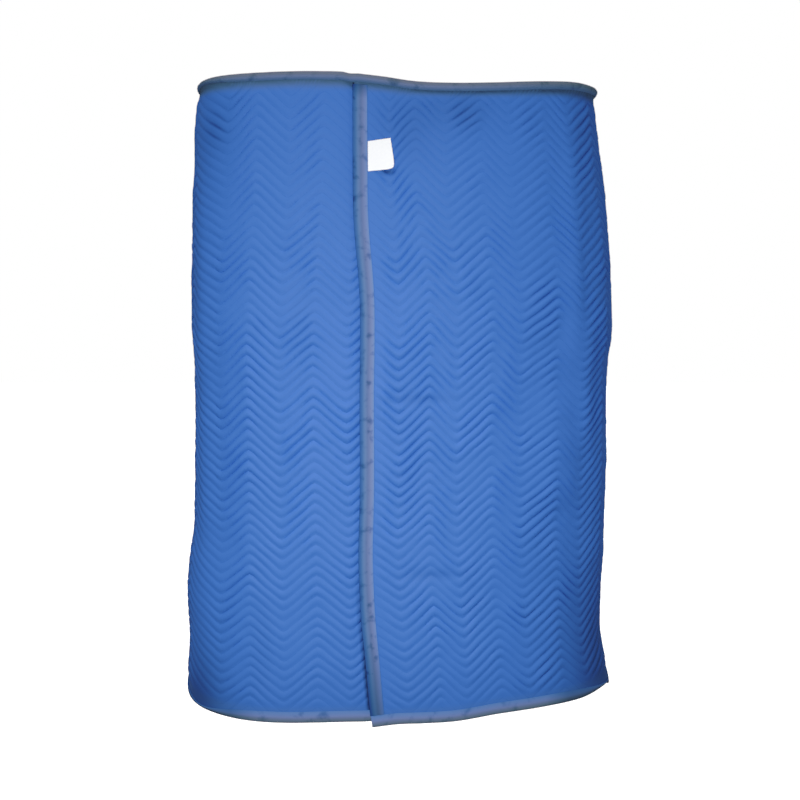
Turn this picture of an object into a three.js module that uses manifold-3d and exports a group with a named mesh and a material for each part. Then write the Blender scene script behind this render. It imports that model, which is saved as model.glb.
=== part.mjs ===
// Quilted cover for a refrigerator, in the shape in which it hangs: one length of zigzag-quilted pad cloth
// wrapped once round and lapped at the front, a closed top, and grey tape folded over every edge.
// Millimetres, +Z up, front towards -Y. The origin is under the middle of the top panel.
import * as THREE from "three";
import { mergeVertices } from "three/addons/utils/BufferGeometryUtils.js";
import Module from "manifold-3d";

// Cut size of the wrap: its length goes round from the front flap's edge, its height hangs from the top.
const WRAP_LENGTH = 3048;
const WRAP_HEIGHT = 1524;
// Once round the cover. What the wrap is longer than this lies hidden under the front flap.
const GIRTH = 2854;
// Where the front flap's free edge lies, left of the middle.
const FLAP_EDGE_X = -97;

// Pad cloth: its thickness along the sewn lines, and how far the quilted ridges stand above them.
const CLOTH = 4;
const PUFF = 2.2;
const RIDGE_PITCH = 25.4;
// The quilting's zigzag from a crest to the next trough: its run along the cloth and its fall.
const ZIGZAG_RUN = 76.2;
const ZIGZAG_FALL = 62;

// Binding tape, folded over the edges.
const TAPE = 1.3;
const TOP_TAPE_WIDTH = 14;
const HEM_TAPE_WIDTH = 25;
const END_TAPE_WIDTH = 28;
const TAPE_INNER_LEG = 9;
const TAPE_CORNER = 0.6;
// Clearance between sewn pieces, in the tape's fold over the wrap's ends, and round the top panel's rim.
const GAP = 0.3;
const FOLD_GAP = 1;
const RIM_GAP = 1;
// The rim starts to bend in this far ahead of the lapped layers that it lies inside.
const RIM_LEAD = 20;
// Unquilted margin along the bound edges, a little wider than the widest tape.
const MARGIN = END_TAPE_WIDTH + 2;
// Steps down the tape on the flap's swaying edge, and on the straight hidden edge.
const FLAP_TAPE_STEPS = 40;
const HIDDEN_TAPE_STEPS = 16;

// How far the lapped layers stand out and in, and where along the wrap each of them bends back.
const LAP_LIFT = 5;
const FLAP_FLAT_TO = 215;
const FLAP_BENDS_TO = 340;
const UNDERLAP_BENDS_FROM = 2680;
const UNDERLAP_FLAT_FROM = 2814;
// How far from its edge the flap follows the edge's sway.
const SWAY_REACH = 250;

// Top panel: thickness between its quilted ridges.
const PANEL = 5;

// Label: width, height and thickness, drop of its top edge, slant of its corners, and curl of its free tip.
const LABEL = { width: 63, height: 75, thick: 1, drop: 138, slant: 10, curl: 5 };

// Plan section at a few drops below the top edge: how far the wrap reaches from the middle, each way.
const REACHES = [
  { drop: 0, left: 491, right: 489, front: 330, back: 330 },
  { drop: 30, left: 492, right: 483, front: 330, back: 330 },
  { drop: 90, left: 499, right: 490, front: 331, back: 331 },
  { drop: 200, left: 502, right: 506, front: 333, back: 333 },
  { drop: 320, left: 508, right: 519, front: 335, back: 335 },
  { drop: 500, left: 511, right: 532, front: 336, back: 336 },
  { drop: 600, left: 513, right: 536, front: 336, back: 336 },
  { drop: 720, left: 508, right: 524, front: 335, back: 335 },
  { drop: 960, left: 511, right: 527, front: 336, back: 336 },
  { drop: 1100, left: 516, right: 523, front: 338, back: 338 },
  { drop: 1180, left: 528, right: 522, front: 339, back: 339 },
  { drop: 1260, left: 535, right: 518, front: 339, back: 339 },
  { drop: 1380, left: 532, right: 520, front: 340, back: 340 },
  { drop: 1480, left: 539, right: 536, front: 342, back: 342 },
  { drop: 1524, left: 540, right: 544, front: 343, back: 343 },
];
// The section that sets where each point of the wrap's length lies.
const MIDDLE = { left: 512, right: 512, front: 335, back: 335 };
// Squareness of the corners: 2 is an ellipse, more is squarer.
const SQUARENESS = { frontLeft: 3.6, frontRight: 2.2, back: 3 };

// Heights of the wrap's top and lower edges along its length, from the flap's edge to the hidden edge.
const EDGE_LINES = [
  { along: 0, top: 39, hem: -1491 },
  { along: 60, top: 32, hem: -1484 },
  { along: 130, top: 22, hem: -1482 },
  { along: 220, top: 19, hem: -1479 },
  { along: 330, top: 23, hem: -1468 },
  { along: 450, top: 31, hem: -1464 },
  { along: 560, top: 37, hem: -1464 },
  { along: 650, top: 37, hem: -1460 },
  { along: 700, top: 37, hem: -1465 },
  { along: 735, top: 37, hem: -1478 },
  { along: 790, top: 36, hem: -1470 },
  { along: 900, top: 35, hem: -1464 },
  { along: 1200, top: 36, hem: -1474 },
  { along: 1500, top: 33, hem: -1470 },
  { along: 1800, top: 37, hem: -1476 },
  { along: 2100, top: 35, hem: -1468 },
  { along: 2350, top: 37, hem: -1464 },
  { along: 2480, top: 42, hem: -1476 },
  { along: 2600, top: 44, hem: -1485 },
  { along: 2760, top: 45, hem: -1483 },
  { along: 2830, top: 42, hem: -1481 },
  { along: 2870, top: 33, hem: -1480 },
  { along: 2940, top: 22, hem: -1475 },
  { along: 3048, top: 17, hem: -1470 },
];

// Sideways sway of the flap's free edge, by drop.
const FLAP_SWAY = [
  { drop: 0, sideways: -10 },
  { drop: 200, sideways: -9 },
  { drop: 320, sideways: -7 },
  { drop: 500, sideways: 7 },
  { drop: 600, sideways: 8 },
  { drop: 720, sideways: 6 },
  { drop: 960, sideways: 6 },
  { drop: 1100, sideways: 3 },
  { drop: 1180, sideways: 5 },
  { drop: 1260, sideways: 9 },
  { drop: 1380, sideways: 20 },
  { drop: 1480, sideways: 29 },
  { drop: 1524, sideways: 34 },
];

// Soft folds: where the middle lies, how the fold line turns from level, its half width and half length,
// and how far it stands out, or in where negative.
const FOLDS = [
  { along: 548, drop: 420, turn: 90, width: 26, length: 420, rise: 6 },
  { along: 2452, drop: 700, turn: 90, width: 30, length: 560, rise: 5 },
  { along: 130, drop: 742, turn: 7, width: 13, length: 92, rise: -4 },
  { along: 160, drop: 1165, turn: 5, width: 15, length: 90, rise: -3 },
  { along: 190, drop: 60, turn: 0, width: 34, length: 150, rise: -4 },
  { along: 598, drop: 81, turn: -24, width: 12, length: 84, rise: -5 },
  { along: 1150, drop: 700, turn: 88, width: 40, length: 600, rise: -8 },
  { along: 1620, drop: 900, turn: 93, width: 45, length: 560, rise: 8 },
  { along: 2120, drop: 800, turn: 90, width: 40, length: 620, rise: -7 },
];

// A smooth curve through a table's rows: the value of one column at a place on another.
function smoothColumn(rows, key, column, at) {
  const place = THREE.MathUtils.clamp(at, rows[0][key], rows.at(-1)[key]);
  const low = THREE.MathUtils.clamp(rows.findIndex((row) => row[key] >= place) - 1, 0, rows.length - 2);
  const steepness = (i) => (rows[i + 1][column] - rows[i][column]) / (rows[i + 1][key] - rows[i][key]);
  const slopeAt = (i) => {
    const before = steepness(Math.max(i - 1, 0));
    const after = steepness(Math.min(i, rows.length - 2));
    return (before + after) / 2;
  };
  const span = rows[low + 1][key] - rows[low][key];
  const t = (place - rows[low][key]) / span;
  const start = (1 + 2 * t) * (1 - t) ** 2 * rows[low][column] + t * (1 - t) ** 2 * span * slopeAt(low);
  return start + t * t * (3 - 2 * t) * rows[low + 1][column] + t * t * (t - 1) * span * slopeAt(low + 1);
}

// Distance from the middle to the section's outline in one direction.
function outlineRadius(angle, reach) {
  const c = Math.cos(angle);
  const s = Math.sin(angle);
  const { sideways, depth, power } = quadrant(c, s, reach);
  return (Math.abs(c / sideways) ** power + Math.abs(s / depth) ** power) ** (-1 / power);
}

// The reaches and the squareness of the quarter in which a direction lies.
function quadrant(x, y, reach) {
  const frontPower = x < 0 ? SQUARENESS.frontLeft : SQUARENESS.frontRight;
  return {
    sideways: x < 0 ? reach.left : reach.right,
    depth: y < 0 ? reach.front : reach.back,
    power: y < 0 ? frontPower : SQUARENESS.back,
  };
}

// Steps once round the middle section from the flap's edge, with the length of cloth up to each.
function measureGirth() {
  const steps = 1440;
  const settles = 20;
  let start = Math.atan2(-MIDDLE.front, FLAP_EDGE_X);
  for (let i = 0; i < settles; i++) {
    start = Math.atan2(outlineRadius(start, MIDDLE) * Math.sin(start), FLAP_EDGE_X);
  }
  const rows = [];
  let length = 0;
  let last = null;
  for (let i = 0; i <= steps; i++) {
    const angle = start + (i / steps) * 2 * Math.PI;
    const radius = outlineRadius(angle, MIDDLE);
    const point = new THREE.Vector2(radius * Math.cos(angle), radius * Math.sin(angle));
    length += last ? point.distanceTo(last) : 0;
    rows.push({ angle, length });
    last = point;
  }
  return rows.map((row) => ({ angle: row.angle, length: (row.length * GIRTH) / length }));
}
const GIRTH_STEPS = measureGirth();

// The direction from the middle in which a point of the wrap's length lies.
function angleAt(along) {
  const turns = Math.floor(along / GIRTH);
  const rest = along - turns * GIRTH;
  const i = Math.max(GIRTH_STEPS.findIndex((row) => row.length >= rest), 1);
  const [before, after] = [GIRTH_STEPS[i - 1], GIRTH_STEPS[i]];
  const share = (rest - before.length) / (after.length - before.length);
  return THREE.MathUtils.lerp(before.angle, after.angle, share) + turns * 2 * Math.PI;
}

// How far the soft folds stand out at a point of the wrap.
function foldRise(along, drop) {
  return FOLDS.reduce((sum, fold) => {
    const turn = THREE.MathUtils.degToRad(fold.turn);
    const [da, dd] = [along - fold.along, drop - fold.drop];
    const lengthwise = (da * Math.cos(turn) + dd * Math.sin(turn)) / fold.length;
    const across = (dd * Math.cos(turn) - da * Math.sin(turn)) / fold.width;
    const fade = Math.max(0, 1 - lengthwise ** 2) ** 2;
    return sum + fold.rise * fade * Math.exp(-(across ** 2));
  }, 0);
}

// How far a layer of the front lap stands off the plain section.
function lapLift(along) {
  const flap = 1 - THREE.MathUtils.smoothstep(along, FLAP_FLAT_TO, FLAP_BENDS_TO);
  const underlap = THREE.MathUtils.smoothstep(along, UNDERLAP_BENDS_FROM, UNDERLAP_FLAT_FROM);
  return LAP_LIFT * (flap - underlap);
}

// A point by its length along the wrap, its drop below the top edge, and its distance out from the section.
function surfacePoint(along, drop, out) {
  const near = 1 - THREE.MathUtils.smoothstep(along, 0, SWAY_REACH);
  const angle = angleAt(along + near * smoothColumn(FLAP_SWAY, "drop", "sideways", drop));
  const reach = {};
  for (const side of ["left", "right", "front", "back"]) {
    reach[side] = smoothColumn(REACHES, "drop", side, drop);
  }
  const radius = outlineRadius(angle, reach);
  const [x, y] = [radius * Math.cos(angle), radius * Math.sin(angle)];
  const { sideways, depth, power } = quadrant(x, y, reach);
  const normal = new THREE.Vector2(
    (Math.sign(x) * Math.abs(x / sideways) ** (power - 1)) / sideways,
    (Math.sign(y) * Math.abs(y / depth) ** (power - 1)) / depth,
  ).normalize();
  const distance = out + foldRise(along, drop);
  const top = smoothColumn(EDGE_LINES, "along", "top", along);
  const hem = smoothColumn(EDGE_LINES, "along", "hem", along);
  const z = THREE.MathUtils.lerp(top, hem, drop / WRAP_HEIGHT);
  return new THREE.Vector3(x + normal.x * distance, y + normal.y * distance, z);
}

// The same, measured out from the inner face of the wrap's own layer.
function wrapPoint(along, drop, out) {
  return surfacePoint(along, drop, out + lapLift(along));
}

// A closed geometry from points and triangles, turned so that its faces point out.
function closedGeometry(points, triangles) {
  const volume = triangles.reduce((sum, [a, b, c]) => {
    return sum + points[a].dot(points[b].clone().cross(points[c]));
  }, 0);
  const faces = volume < 0 ? triangles.map(([a, b, c]) => [a, c, b]) : triangles;
  const geometry = new THREE.BufferGeometry().setFromPoints(points);
  return geometry.setIndex(faces.flat());
}

// A solid through like sections. An open run of sections is capped with the given triangles.
function sweep(sections, caps = null) {
  const count = sections[0].length;
  const triangles = [];
  const last = caps ? sections.length - 1 : sections.length;
  for (let i = 0; i < last; i++) {
    const here = i * count;
    const next = ((i + 1) % sections.length) * count;
    for (let j = 0; j < count; j++) {
      const k = (j + 1) % count;
      triangles.push([here + j, next + j, next + k], [here + j, next + k, here + k]);
    }
  }
  for (const [a, b, c] of caps ?? []) {
    const end = (sections.length - 1) * count;
    triangles.push([a, b, c], [end + a, end + c, end + b]);
  }
  return closedGeometry(sections.flat(), triangles);
}

// Triangles that fill a section's outline, given as rows of two coordinates, wound as the outline is.
function capTriangles(outline) {
  const points = outline.map(([u, w]) => new THREE.Vector2(u, w));
  const outlineSense = Math.sign(THREE.ShapeUtils.area(points));
  return THREE.ShapeUtils.triangulateShape(points, []).map((corners) => {
    const sense = Math.sign(THREE.ShapeUtils.area(corners.map((i) => points[i])));
    return sense === outlineSense ? corners : corners.toReversed();
  });
}

// Stations along the wrap: its ends, the margins beside them, and the zigzag's crests and troughs between.
const STATIONS = [0, MARGIN];
for (let along = ZIGZAG_RUN; along < WRAP_LENGTH - MARGIN; along += ZIGZAG_RUN) {
  STATIONS.push(along);
}
STATIONS.push(WRAP_LENGTH - MARGIN, WRAP_LENGTH);
// Those once round the top, where the ring closes.
const ROUND_STATIONS = STATIONS.filter((along) => along < GIRTH);

// How far the zigzag has fallen below its crests at a point along the wrap.
function zigzagFall(along) {
  const step = along / ZIGZAG_RUN;
  return ZIGZAG_FALL * Math.abs(step - 2 * Math.round(step / 2));
}

// Joins two edges of points that run down the same end of the wrap, at different drops.
function joinEnds(outer, inner) {
  const triangles = [];
  let [i, j] = [0, 0];
  while (i < outer.length - 1 || j < inner.length - 1) {
    const outerNext = i < outer.length - 1 ? outer[i + 1].drop : Infinity;
    const innerNext = j < inner.length - 1 ? inner[j + 1].drop : Infinity;
    if (outerNext <= innerNext) {
      triangles.push([outer[i].index, outer[i + 1].index, inner[j].index]);
      i += 1;
    } else {
      triangles.push([outer[i].index, inner[j + 1].index, inner[j].index]);
      j += 1;
    }
  }
  return triangles;
}

// The wrap: a quilted outer face whose rows follow the zigzag, a plain inner face, and its four edges.
function makeWrap() {
  const points = [];
  const triangles = [];
  const halfPitch = RIDGE_PITCH / 2;
  const lowest = WRAP_HEIGHT - MARGIN;
  const firstRow = Math.floor(MARGIN / halfPitch);
  const lastRow = Math.ceil((lowest + ZIGZAG_FALL) / halfPitch);
  // A column of one face: its points from the top edge down, each kept once.
  const addColumn = (along, drops) => {
    const column = [];
    for (const { drop, out } of drops) {
      if (column.length && drop - column.at(-1).drop < GAP / 10) {
        column.push(column.at(-1));
        continue;
      }
      column.push({ drop, index: points.length });
      points.push(wrapPoint(along, drop, out));
    }
    return column;
  };
  const outerDrops = (along) => {
    const plain = along <= MARGIN || along >= WRAP_LENGTH - MARGIN;
    const drops = [0, MARGIN / 2].map((drop) => ({ drop, out: CLOTH }));
    for (let row = firstRow; row <= lastRow; row++) {
      const free = row * halfPitch - ZIGZAG_FALL + zigzagFall(along);
      const drop = THREE.MathUtils.clamp(free, MARGIN, lowest);
      const raised = row % 2 === 1 && drop === free && !plain;
      drops.push({ drop, out: CLOTH + (raised ? PUFF : 0) });
    }
    return drops.concat([WRAP_HEIGHT - MARGIN / 2, WRAP_HEIGHT].map((drop) => ({ drop, out: CLOTH })));
  };
  const innerDrops = REACHES.map(({ drop }) => ({ drop, out: 0 }));
  const addFace = (columns, dropsAt) => {
    const face = columns.map((along) => addColumn(along, dropsAt(along)));
    for (let i = 0; i + 1 < face.length; i++) {
      for (let j = 0; j + 1 < face[i].length; j++) {
        const [a, b] = [face[i][j].index, face[i][j + 1].index];
        const [c, d] = [face[i + 1][j].index, face[i + 1][j + 1].index];
        if (c !== d) triangles.push([a, c, d]);
        if (a !== b) triangles.push([a, d, b]);
      }
    }
    return face;
  };
  const outer = addFace(STATIONS, outerDrops);
  const outerCount = triangles.length;
  const inner = addFace(STATIONS, () => innerDrops);
  for (let i = outerCount; i < triangles.length; i++) {
    triangles[i].reverse();
  }
  for (let i = 0; i + 1 < STATIONS.length; i++) {
    const [a, b] = [outer[i][0].index, outer[i + 1][0].index];
    const [c, d] = [inner[i][0].index, inner[i + 1][0].index];
    triangles.push([a, d, b], [a, c, d]);
    const [e, f] = [outer[i].at(-1).index, outer[i + 1].at(-1).index];
    const [g, h] = [inner[i].at(-1).index, inner[i + 1].at(-1).index];
    triangles.push([e, f, h], [e, h, g]);
  }
  const once = (column) => column.filter((point, i) => i === 0 || point !== column[i - 1]);
  triangles.push(...joinEnds(once(outer[0]), once(inner[0])));
  const farEnd = joinEnds(once(outer.at(-1)), once(inner.at(-1)));
  triangles.push(...farEnd.map(([a, b, c]) => [a, c, b]));
  return closedGeometry(points, triangles);
}

// How far in the innermost layer of the wrap lies, with the tape on its hidden edge.
function innermost(along) {
  const lap = 1 - THREE.MathUtils.smoothstep(along, FLAP_FLAT_TO, FLAP_BENDS_TO - 2 * RIM_LEAD);
  const bend = THREE.MathUtils.smoothstep(along + RIM_LEAD, UNDERLAP_BENDS_FROM, UNDERLAP_FLAT_FROM);
  return -(LAP_LIFT + GAP + TAPE) * Math.max(lap, bend);
}

// Distance out to the outer face of the top panel's turned-up rim.
function rimOut(along) {
  return innermost(along) - RIM_GAP;
}

// Drop from the wrap's top edge to the panel's underside.
function undersideDrop(along) {
  const top = smoothColumn(EDGE_LINES, "along", "top", along);
  const hem = smoothColumn(EDGE_LINES, "along", "hem", along);
  return (top / (top - hem)) * WRAP_HEIGHT;
}

const wasm = await Module();
wasm.setup();

// A three.js geometry as a solid for joins and cuts.
function solidOf(geometry) {
  const bare = geometry.clone();
  bare.deleteAttribute("normal");
  bare.deleteAttribute("uv");
  const merged = mergeVertices(bare);
  const vertProperties = merged.attributes.position.array;
  return new wasm.Manifold(
    new wasm.Mesh({ numProp: 3, vertProperties, triVerts: new Uint32Array(merged.index.array) }),
  );
}

// A joined or cut solid as a three.js geometry.
function geometryOf(solid) {
  const mesh = solid.getMesh();
  const geometry = new THREE.BufferGeometry();
  geometry.setAttribute("position", new THREE.BufferAttribute(mesh.vertProperties, 3));
  return geometry.setIndex(new THREE.BufferAttribute(mesh.triVerts, 1));
}

// A flat slab of quilted cloth, a little larger than the top.
function quiltedSlab() {
  const columns = Math.ceil(MIDDLE.right / ZIGZAG_RUN);
  const rows = Math.ceil((MIDDLE.front + ZIGZAG_FALL) / (RIDGE_PITCH / 2));
  const sections = [];
  for (let i = -columns; i <= columns; i++) {
    const along = i * ZIGZAG_RUN;
    const section = [];
    for (let j = -rows; j <= rows; j++) {
      const y = (j * RIDGE_PITCH) / 2 + zigzagFall(along) - ZIGZAG_FALL / 2;
      section.push(new THREE.Vector3(along, y, PANEL + (j % 2 ? PUFF : 0)));
    }
    const ends = [section.at(-1), section[0]];
    section.push(...ends.map((end) => new THREE.Vector3(end.x, end.y, 0)));
    sections.push(section);
  }
  const outline = sections[0].map((point) => [point.y, point.z]);
  return sweep(sections, capTriangles(outline));
}

// The top panel: quilted cloth cut to the wrap's inside, with a rim that stands up against the wrap.
function makeTopPanel() {
  const rim = ROUND_STATIONS.map((along) => {
    const drops = [0, undersideDrop(along) / 2, undersideDrop(along)];
    const out = rimOut(along);
    const outside = drops.map((drop) => surfacePoint(along, drop, out));
    const inside = drops.map((drop) => surfacePoint(along, drop, out - CLOTH));
    return outside.concat(inside.reverse());
  });
  const edge = ROUND_STATIONS.map((along) => {
    return surfacePoint(along, undersideDrop(along), rimOut(along) - CLOTH / 2);
  });
  const outline = new THREE.Shape(edge.map((point) => new THREE.Vector2(point.x, point.y)));
  const prism = new THREE.ExtrudeGeometry(outline, { depth: PANEL + PUFF + GAP, bevelEnabled: false });
  const sheet = solidOf(quiltedSlab()).intersect(solidOf(prism));
  return geometryOf(sheet.add(solidOf(sweep(rim))));
}

// Tape over the standing top seam: outside the wrap, over its edge, and down inside the panel's rim.
function makeTopBinding() {
  const outside = CLOTH + GAP;
  const sections = ROUND_STATIONS.map((along) => {
    const inside = rimOut(along) - CLOTH - 2 * GAP - lapLift(along);
    const rows = [
      [TOP_TAPE_WIDTH, outside],
      [TOP_TAPE_WIDTH, outside + TAPE],
      [TOP_TAPE_WIDTH / 2, outside + TAPE],
      [0, outside + TAPE],
      [-GAP - TAPE, outside + TAPE - TAPE_CORNER],
      [-GAP - TAPE, inside - TAPE + TAPE_CORNER],
      [0, inside - TAPE],
      [TAPE_INNER_LEG, inside - TAPE],
      [TAPE_INNER_LEG, inside],
      [-GAP, inside],
      [-GAP, outside],
      [TOP_TAPE_WIDTH / 2, outside],
    ];
    return rows.map(([drop, out]) => wrapPoint(along, drop, out));
  });
  return sweep(sections);
}

// Section of a tape folded over an edge: distance in from the edge, and distance out from the inner face.
function foldedTape(width, legSteps, foldGap) {
  const [outside, inside] = [CLOTH + GAP, -GAP];
  const outwards = legSteps.map((step) => [step * width, outside + TAPE]);
  const inwards = legSteps.map((step) => [step * width, inside - TAPE]).reverse();
  return [
    ...outwards,
    [-foldGap - TAPE, outside + TAPE - TAPE_CORNER],
    [-foldGap - TAPE, inside - TAPE + TAPE_CORNER],
    ...inwards,
    ...legSteps.slice(0, -1).map((step) => [step * width, inside]),
    [-foldGap, inside],
    [-foldGap, outside],
    ...legSteps.slice(0, -1).reverse().map((step) => [step * width, outside]),
  ];
}

// Tape over the lower edge, from one end of the wrap to the other.
function makeHemBinding() {
  const profile = foldedTape(HEM_TAPE_WIDTH, [1, 0.5, 0], GAP);
  const ends = [-GAP - TAPE, WRAP_LENGTH + GAP + TAPE];
  const stations = [ends[0], ...STATIONS, ends[1]];
  const sections = stations.map((along) => {
    return profile.map(([inwards, out]) => wrapPoint(along, WRAP_HEIGHT - inwards, out));
  });
  return sweep(sections, capTriangles(profile));
}

// Tape over one of the wrap's ends, between the top and the hem tapes.
function makeEndBinding(edge, direction, steps) {
  const profile = foldedTape(END_TAPE_WIDTH, [1, 0], FOLD_GAP);
  const [from, to] = [TOP_TAPE_WIDTH + GAP, WRAP_HEIGHT - HEM_TAPE_WIDTH - GAP];
  const sections = [];
  for (let i = 0; i <= steps; i++) {
    const drop = THREE.MathUtils.lerp(from, to, i / steps);
    sections.push(profile.map(([inwards, out]) => wrapPoint(edge + direction * inwards, drop, out)));
  }
  return sweep(sections, capTriangles(profile));
}

// The label: a thin flap sewn in beside the tape, its free corner curling out.
function makeLabel() {
  const steps = 4;
  const start = END_TAPE_WIDTH + 2 * GAP;
  const sections = [];
  for (let i = 0; i <= steps; i++) {
    const share = i / steps;
    const rows = [0, 0.5, 1].map((down) => ({
      along: start + share * (LABEL.width - LABEL.slant * (1 - down)),
      drop: LABEL.drop + LABEL.slant * (1 - share) + down * (LABEL.height - LABEL.slant / 2),
      out: CLOTH + GAP + PUFF * Math.min(1, 2 * share) + LABEL.curl * (share * down) ** 2,
    }));
    const back = rows.map((row) => wrapPoint(row.along, row.drop, row.out));
    const face = rows.map((row) => wrapPoint(row.along, row.drop, row.out + LABEL.thick)).reverse();
    sections.push(back.concat(face));
  }
  const outline = [[0, 0], [1, 0], [2, 0], [2, 1], [1, 1], [0, 1]];
  return sweep(sections, capTriangles(outline));
}

const PAD_CLOTH = { color: 0x4677c2, roughness: 0.85, metalness: 0 };
const GREY_TAPE = { color: 0x6b7f9f, roughness: 0.8, metalness: 0 };
const WHITE_LABEL = { color: 0xf4f5f7, roughness: 0.6, metalness: 0 };

// A named mesh with its own material.
function piece(name, geometry, finish) {
  const mesh = new THREE.Mesh(geometry, new THREE.MeshStandardMaterial(finish));
  mesh.name = name;
  return mesh;
}

const cover = new THREE.Group();
cover.add(
  piece("quilted_wrap", makeWrap(), PAD_CLOTH),
  piece("top_panel", makeTopPanel(), PAD_CLOTH),
  piece("top_binding", makeTopBinding(), GREY_TAPE),
  piece("hem_binding", makeHemBinding(), GREY_TAPE),
  piece("flap_binding", makeEndBinding(0, 1, FLAP_TAPE_STEPS), GREY_TAPE),
  piece("inner_flap_binding", makeEndBinding(WRAP_LENGTH, -1, HIDDEN_TAPE_STEPS), GREY_TAPE),
  piece("care_label", makeLabel(), WHITE_LABEL),
);

export default cover;
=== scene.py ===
"""Looks of a quilted refrigerator cover, hung in the shape of its solids.

A place on the cloth is given by its length along the wrap from the front flap's edge, its drop below the top
edge, and its distance out from the wrap's inner face, all in millimetres. Drape turns such places into points
of the shared frame, in metres, with +Z up and the front towards -Y.
"""

import logging
import math
from abc import ABC, abstractmethod
from dataclasses import dataclass, field
from enum import Enum
from typing import Any, NamedTuple, Sequence, TypeVar

import bmesh
import bpy
import numpy as np
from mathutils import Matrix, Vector, noise


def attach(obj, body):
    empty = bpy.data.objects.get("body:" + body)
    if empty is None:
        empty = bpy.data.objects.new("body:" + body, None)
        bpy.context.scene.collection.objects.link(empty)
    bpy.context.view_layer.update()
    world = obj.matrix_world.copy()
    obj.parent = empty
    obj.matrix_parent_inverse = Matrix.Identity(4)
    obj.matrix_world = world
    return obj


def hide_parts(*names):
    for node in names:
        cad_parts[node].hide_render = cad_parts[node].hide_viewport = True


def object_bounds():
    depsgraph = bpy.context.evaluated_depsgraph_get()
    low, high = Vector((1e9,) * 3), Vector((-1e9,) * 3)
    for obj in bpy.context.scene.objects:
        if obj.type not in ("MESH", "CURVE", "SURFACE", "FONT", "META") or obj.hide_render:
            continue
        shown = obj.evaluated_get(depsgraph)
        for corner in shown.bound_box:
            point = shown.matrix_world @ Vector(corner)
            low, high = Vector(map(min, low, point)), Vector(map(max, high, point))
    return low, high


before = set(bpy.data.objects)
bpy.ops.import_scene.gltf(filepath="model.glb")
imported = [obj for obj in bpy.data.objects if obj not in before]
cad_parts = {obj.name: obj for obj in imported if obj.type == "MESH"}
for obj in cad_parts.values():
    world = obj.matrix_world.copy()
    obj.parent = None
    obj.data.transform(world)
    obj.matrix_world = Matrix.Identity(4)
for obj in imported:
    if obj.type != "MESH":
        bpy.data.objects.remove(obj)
CAD_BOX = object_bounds()

LOG = logging.getLogger("refrigerator_cover")
Row = TypeVar("Row", bound=tuple)
MM = 0.001
# Numbers of a mix node's sockets for colours, and of the view's tone curves.
MIX_A, MIX_B, MIX_RESULT = 6, 7, 2
GREEN_CURVE, ALL_CURVE = 1, 3
# Scale of a wave texture that gives one band a metre.
WAVE_SCALE = math.pi / 10


class Section(NamedTuple):
    """Plan section at one drop: how far the wrap reaches to the left, the right, and the front and back."""

    drop: float
    left: float
    right: float
    depth: float


class EdgeHeights(NamedTuple):
    """Heights of the wrap's top and lower edges at one place along it."""

    along: float
    top: float
    hem: float


class Sway(NamedTuple):
    """Sideways sway of the flap's free edge at one drop."""

    drop: float
    sideways: float


class Drift(NamedTuple):
    """Sideways drift of the hung cloth at one drop, left and right of the flap's edge."""

    drop: float
    left: float
    right: float


class QuiltTurn(NamedTuple):
    """Repeats of the zigzag up to one place along the wrap, counted from the first crest.

    The lean is the share by which rows that rise to the right puff up more, and those that fall less.
    """

    along: float
    turns: float
    lean: float


class Tone(NamedTuple):
    """How bright a linear value of the scene shows."""

    lit: float
    shown: float


class Fold(NamedTuple):
    """A soft fold: its middle, its turn from level, half width and half length, and its rise."""

    along: float
    drop: float
    turn: float
    width: float
    length: float
    rise: float


class Patch(NamedTuple):
    """A patch of the cloth: its middle, its half width and half height, and its share at the middle."""

    along: float
    drop: float
    wide: float
    tall: float
    share: float


class SeamShade(NamedTuple):
    """Painted shade in the crease of the top seam at one place along the wrap."""

    along: float
    shade_share: float


class TapeTintAndShade(NamedTuple):
    """Colour of a tape, with painted shade, at a share of the way from its sewn edge to its fold."""

    share: float
    colour: str


class DarkStretch(NamedTuple):
    """A darker stretch of a tape: its middle, and how far from it the tape is darker and is clean."""

    middle: float
    dark_within: float
    clean_past: float


def table(kind: type[Row], *rows: tuple) -> tuple[Row, ...]:
    """Give each row of a table the columns of its kind."""
    return tuple(kind(*row) for row in rows)


SECTIONS = table(
    Section,
    (0, 491, 489, 330),
    (30, 492, 483, 330),
    (90, 499, 490, 331),
    (200, 502, 506, 333),
    (320, 508, 519, 335),
    (500, 511, 532, 336),
    (600, 513, 536, 336),
    (720, 508, 524, 335),
    (960, 511, 527, 336),
    (1100, 516, 523, 338),
    (1180, 528, 522, 339),
    (1260, 535, 518, 339),
    (1380, 532, 520, 340),
    (1480, 539, 536, 342),
    (1524, 540, 544, 343),
)
# The section that sets where each point of the wrap's length lies, and the one that the top panel fills.
MIDDLE_SECTION = Section(0, 512, 512, 335)
TOP_SECTION = SECTIONS[1]

EDGE_HEIGHTS = table(
    EdgeHeights,
    (0, 39, -1491),
    (60, 32, -1484),
    (130, 22, -1482),
    (220, 19, -1479),
    (330, 23, -1468),
    (450, 31, -1464),
    (560, 37, -1464),
    (650, 37, -1460),
    (700, 37, -1465),
    (735, 37, -1478),
    (790, 36, -1470),
    (900, 35, -1464),
    (1200, 36, -1474),
    (1500, 33, -1470),
    (1800, 37, -1476),
    (2100, 35, -1468),
    (2350, 37, -1464),
    (2480, 42, -1476),
    (2600, 44, -1485),
    (2760, 45, -1483),
    (2830, 42, -1481),
    (2870, 33, -1480),
    (2940, 22, -1475),
    (3048, 17, -1470),
)

FLAP_SWAY = table(
    Sway,
    (0, -10),
    (200, -9),
    (320, -7),
    (500, 7),
    (600, 8),
    (720, 6),
    (960, 6),
    (1100, 3),
    (1180, 5),
    (1260, 9),
    (1380, 20),
    (1480, 29),
    (1524, 34),
)

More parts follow.
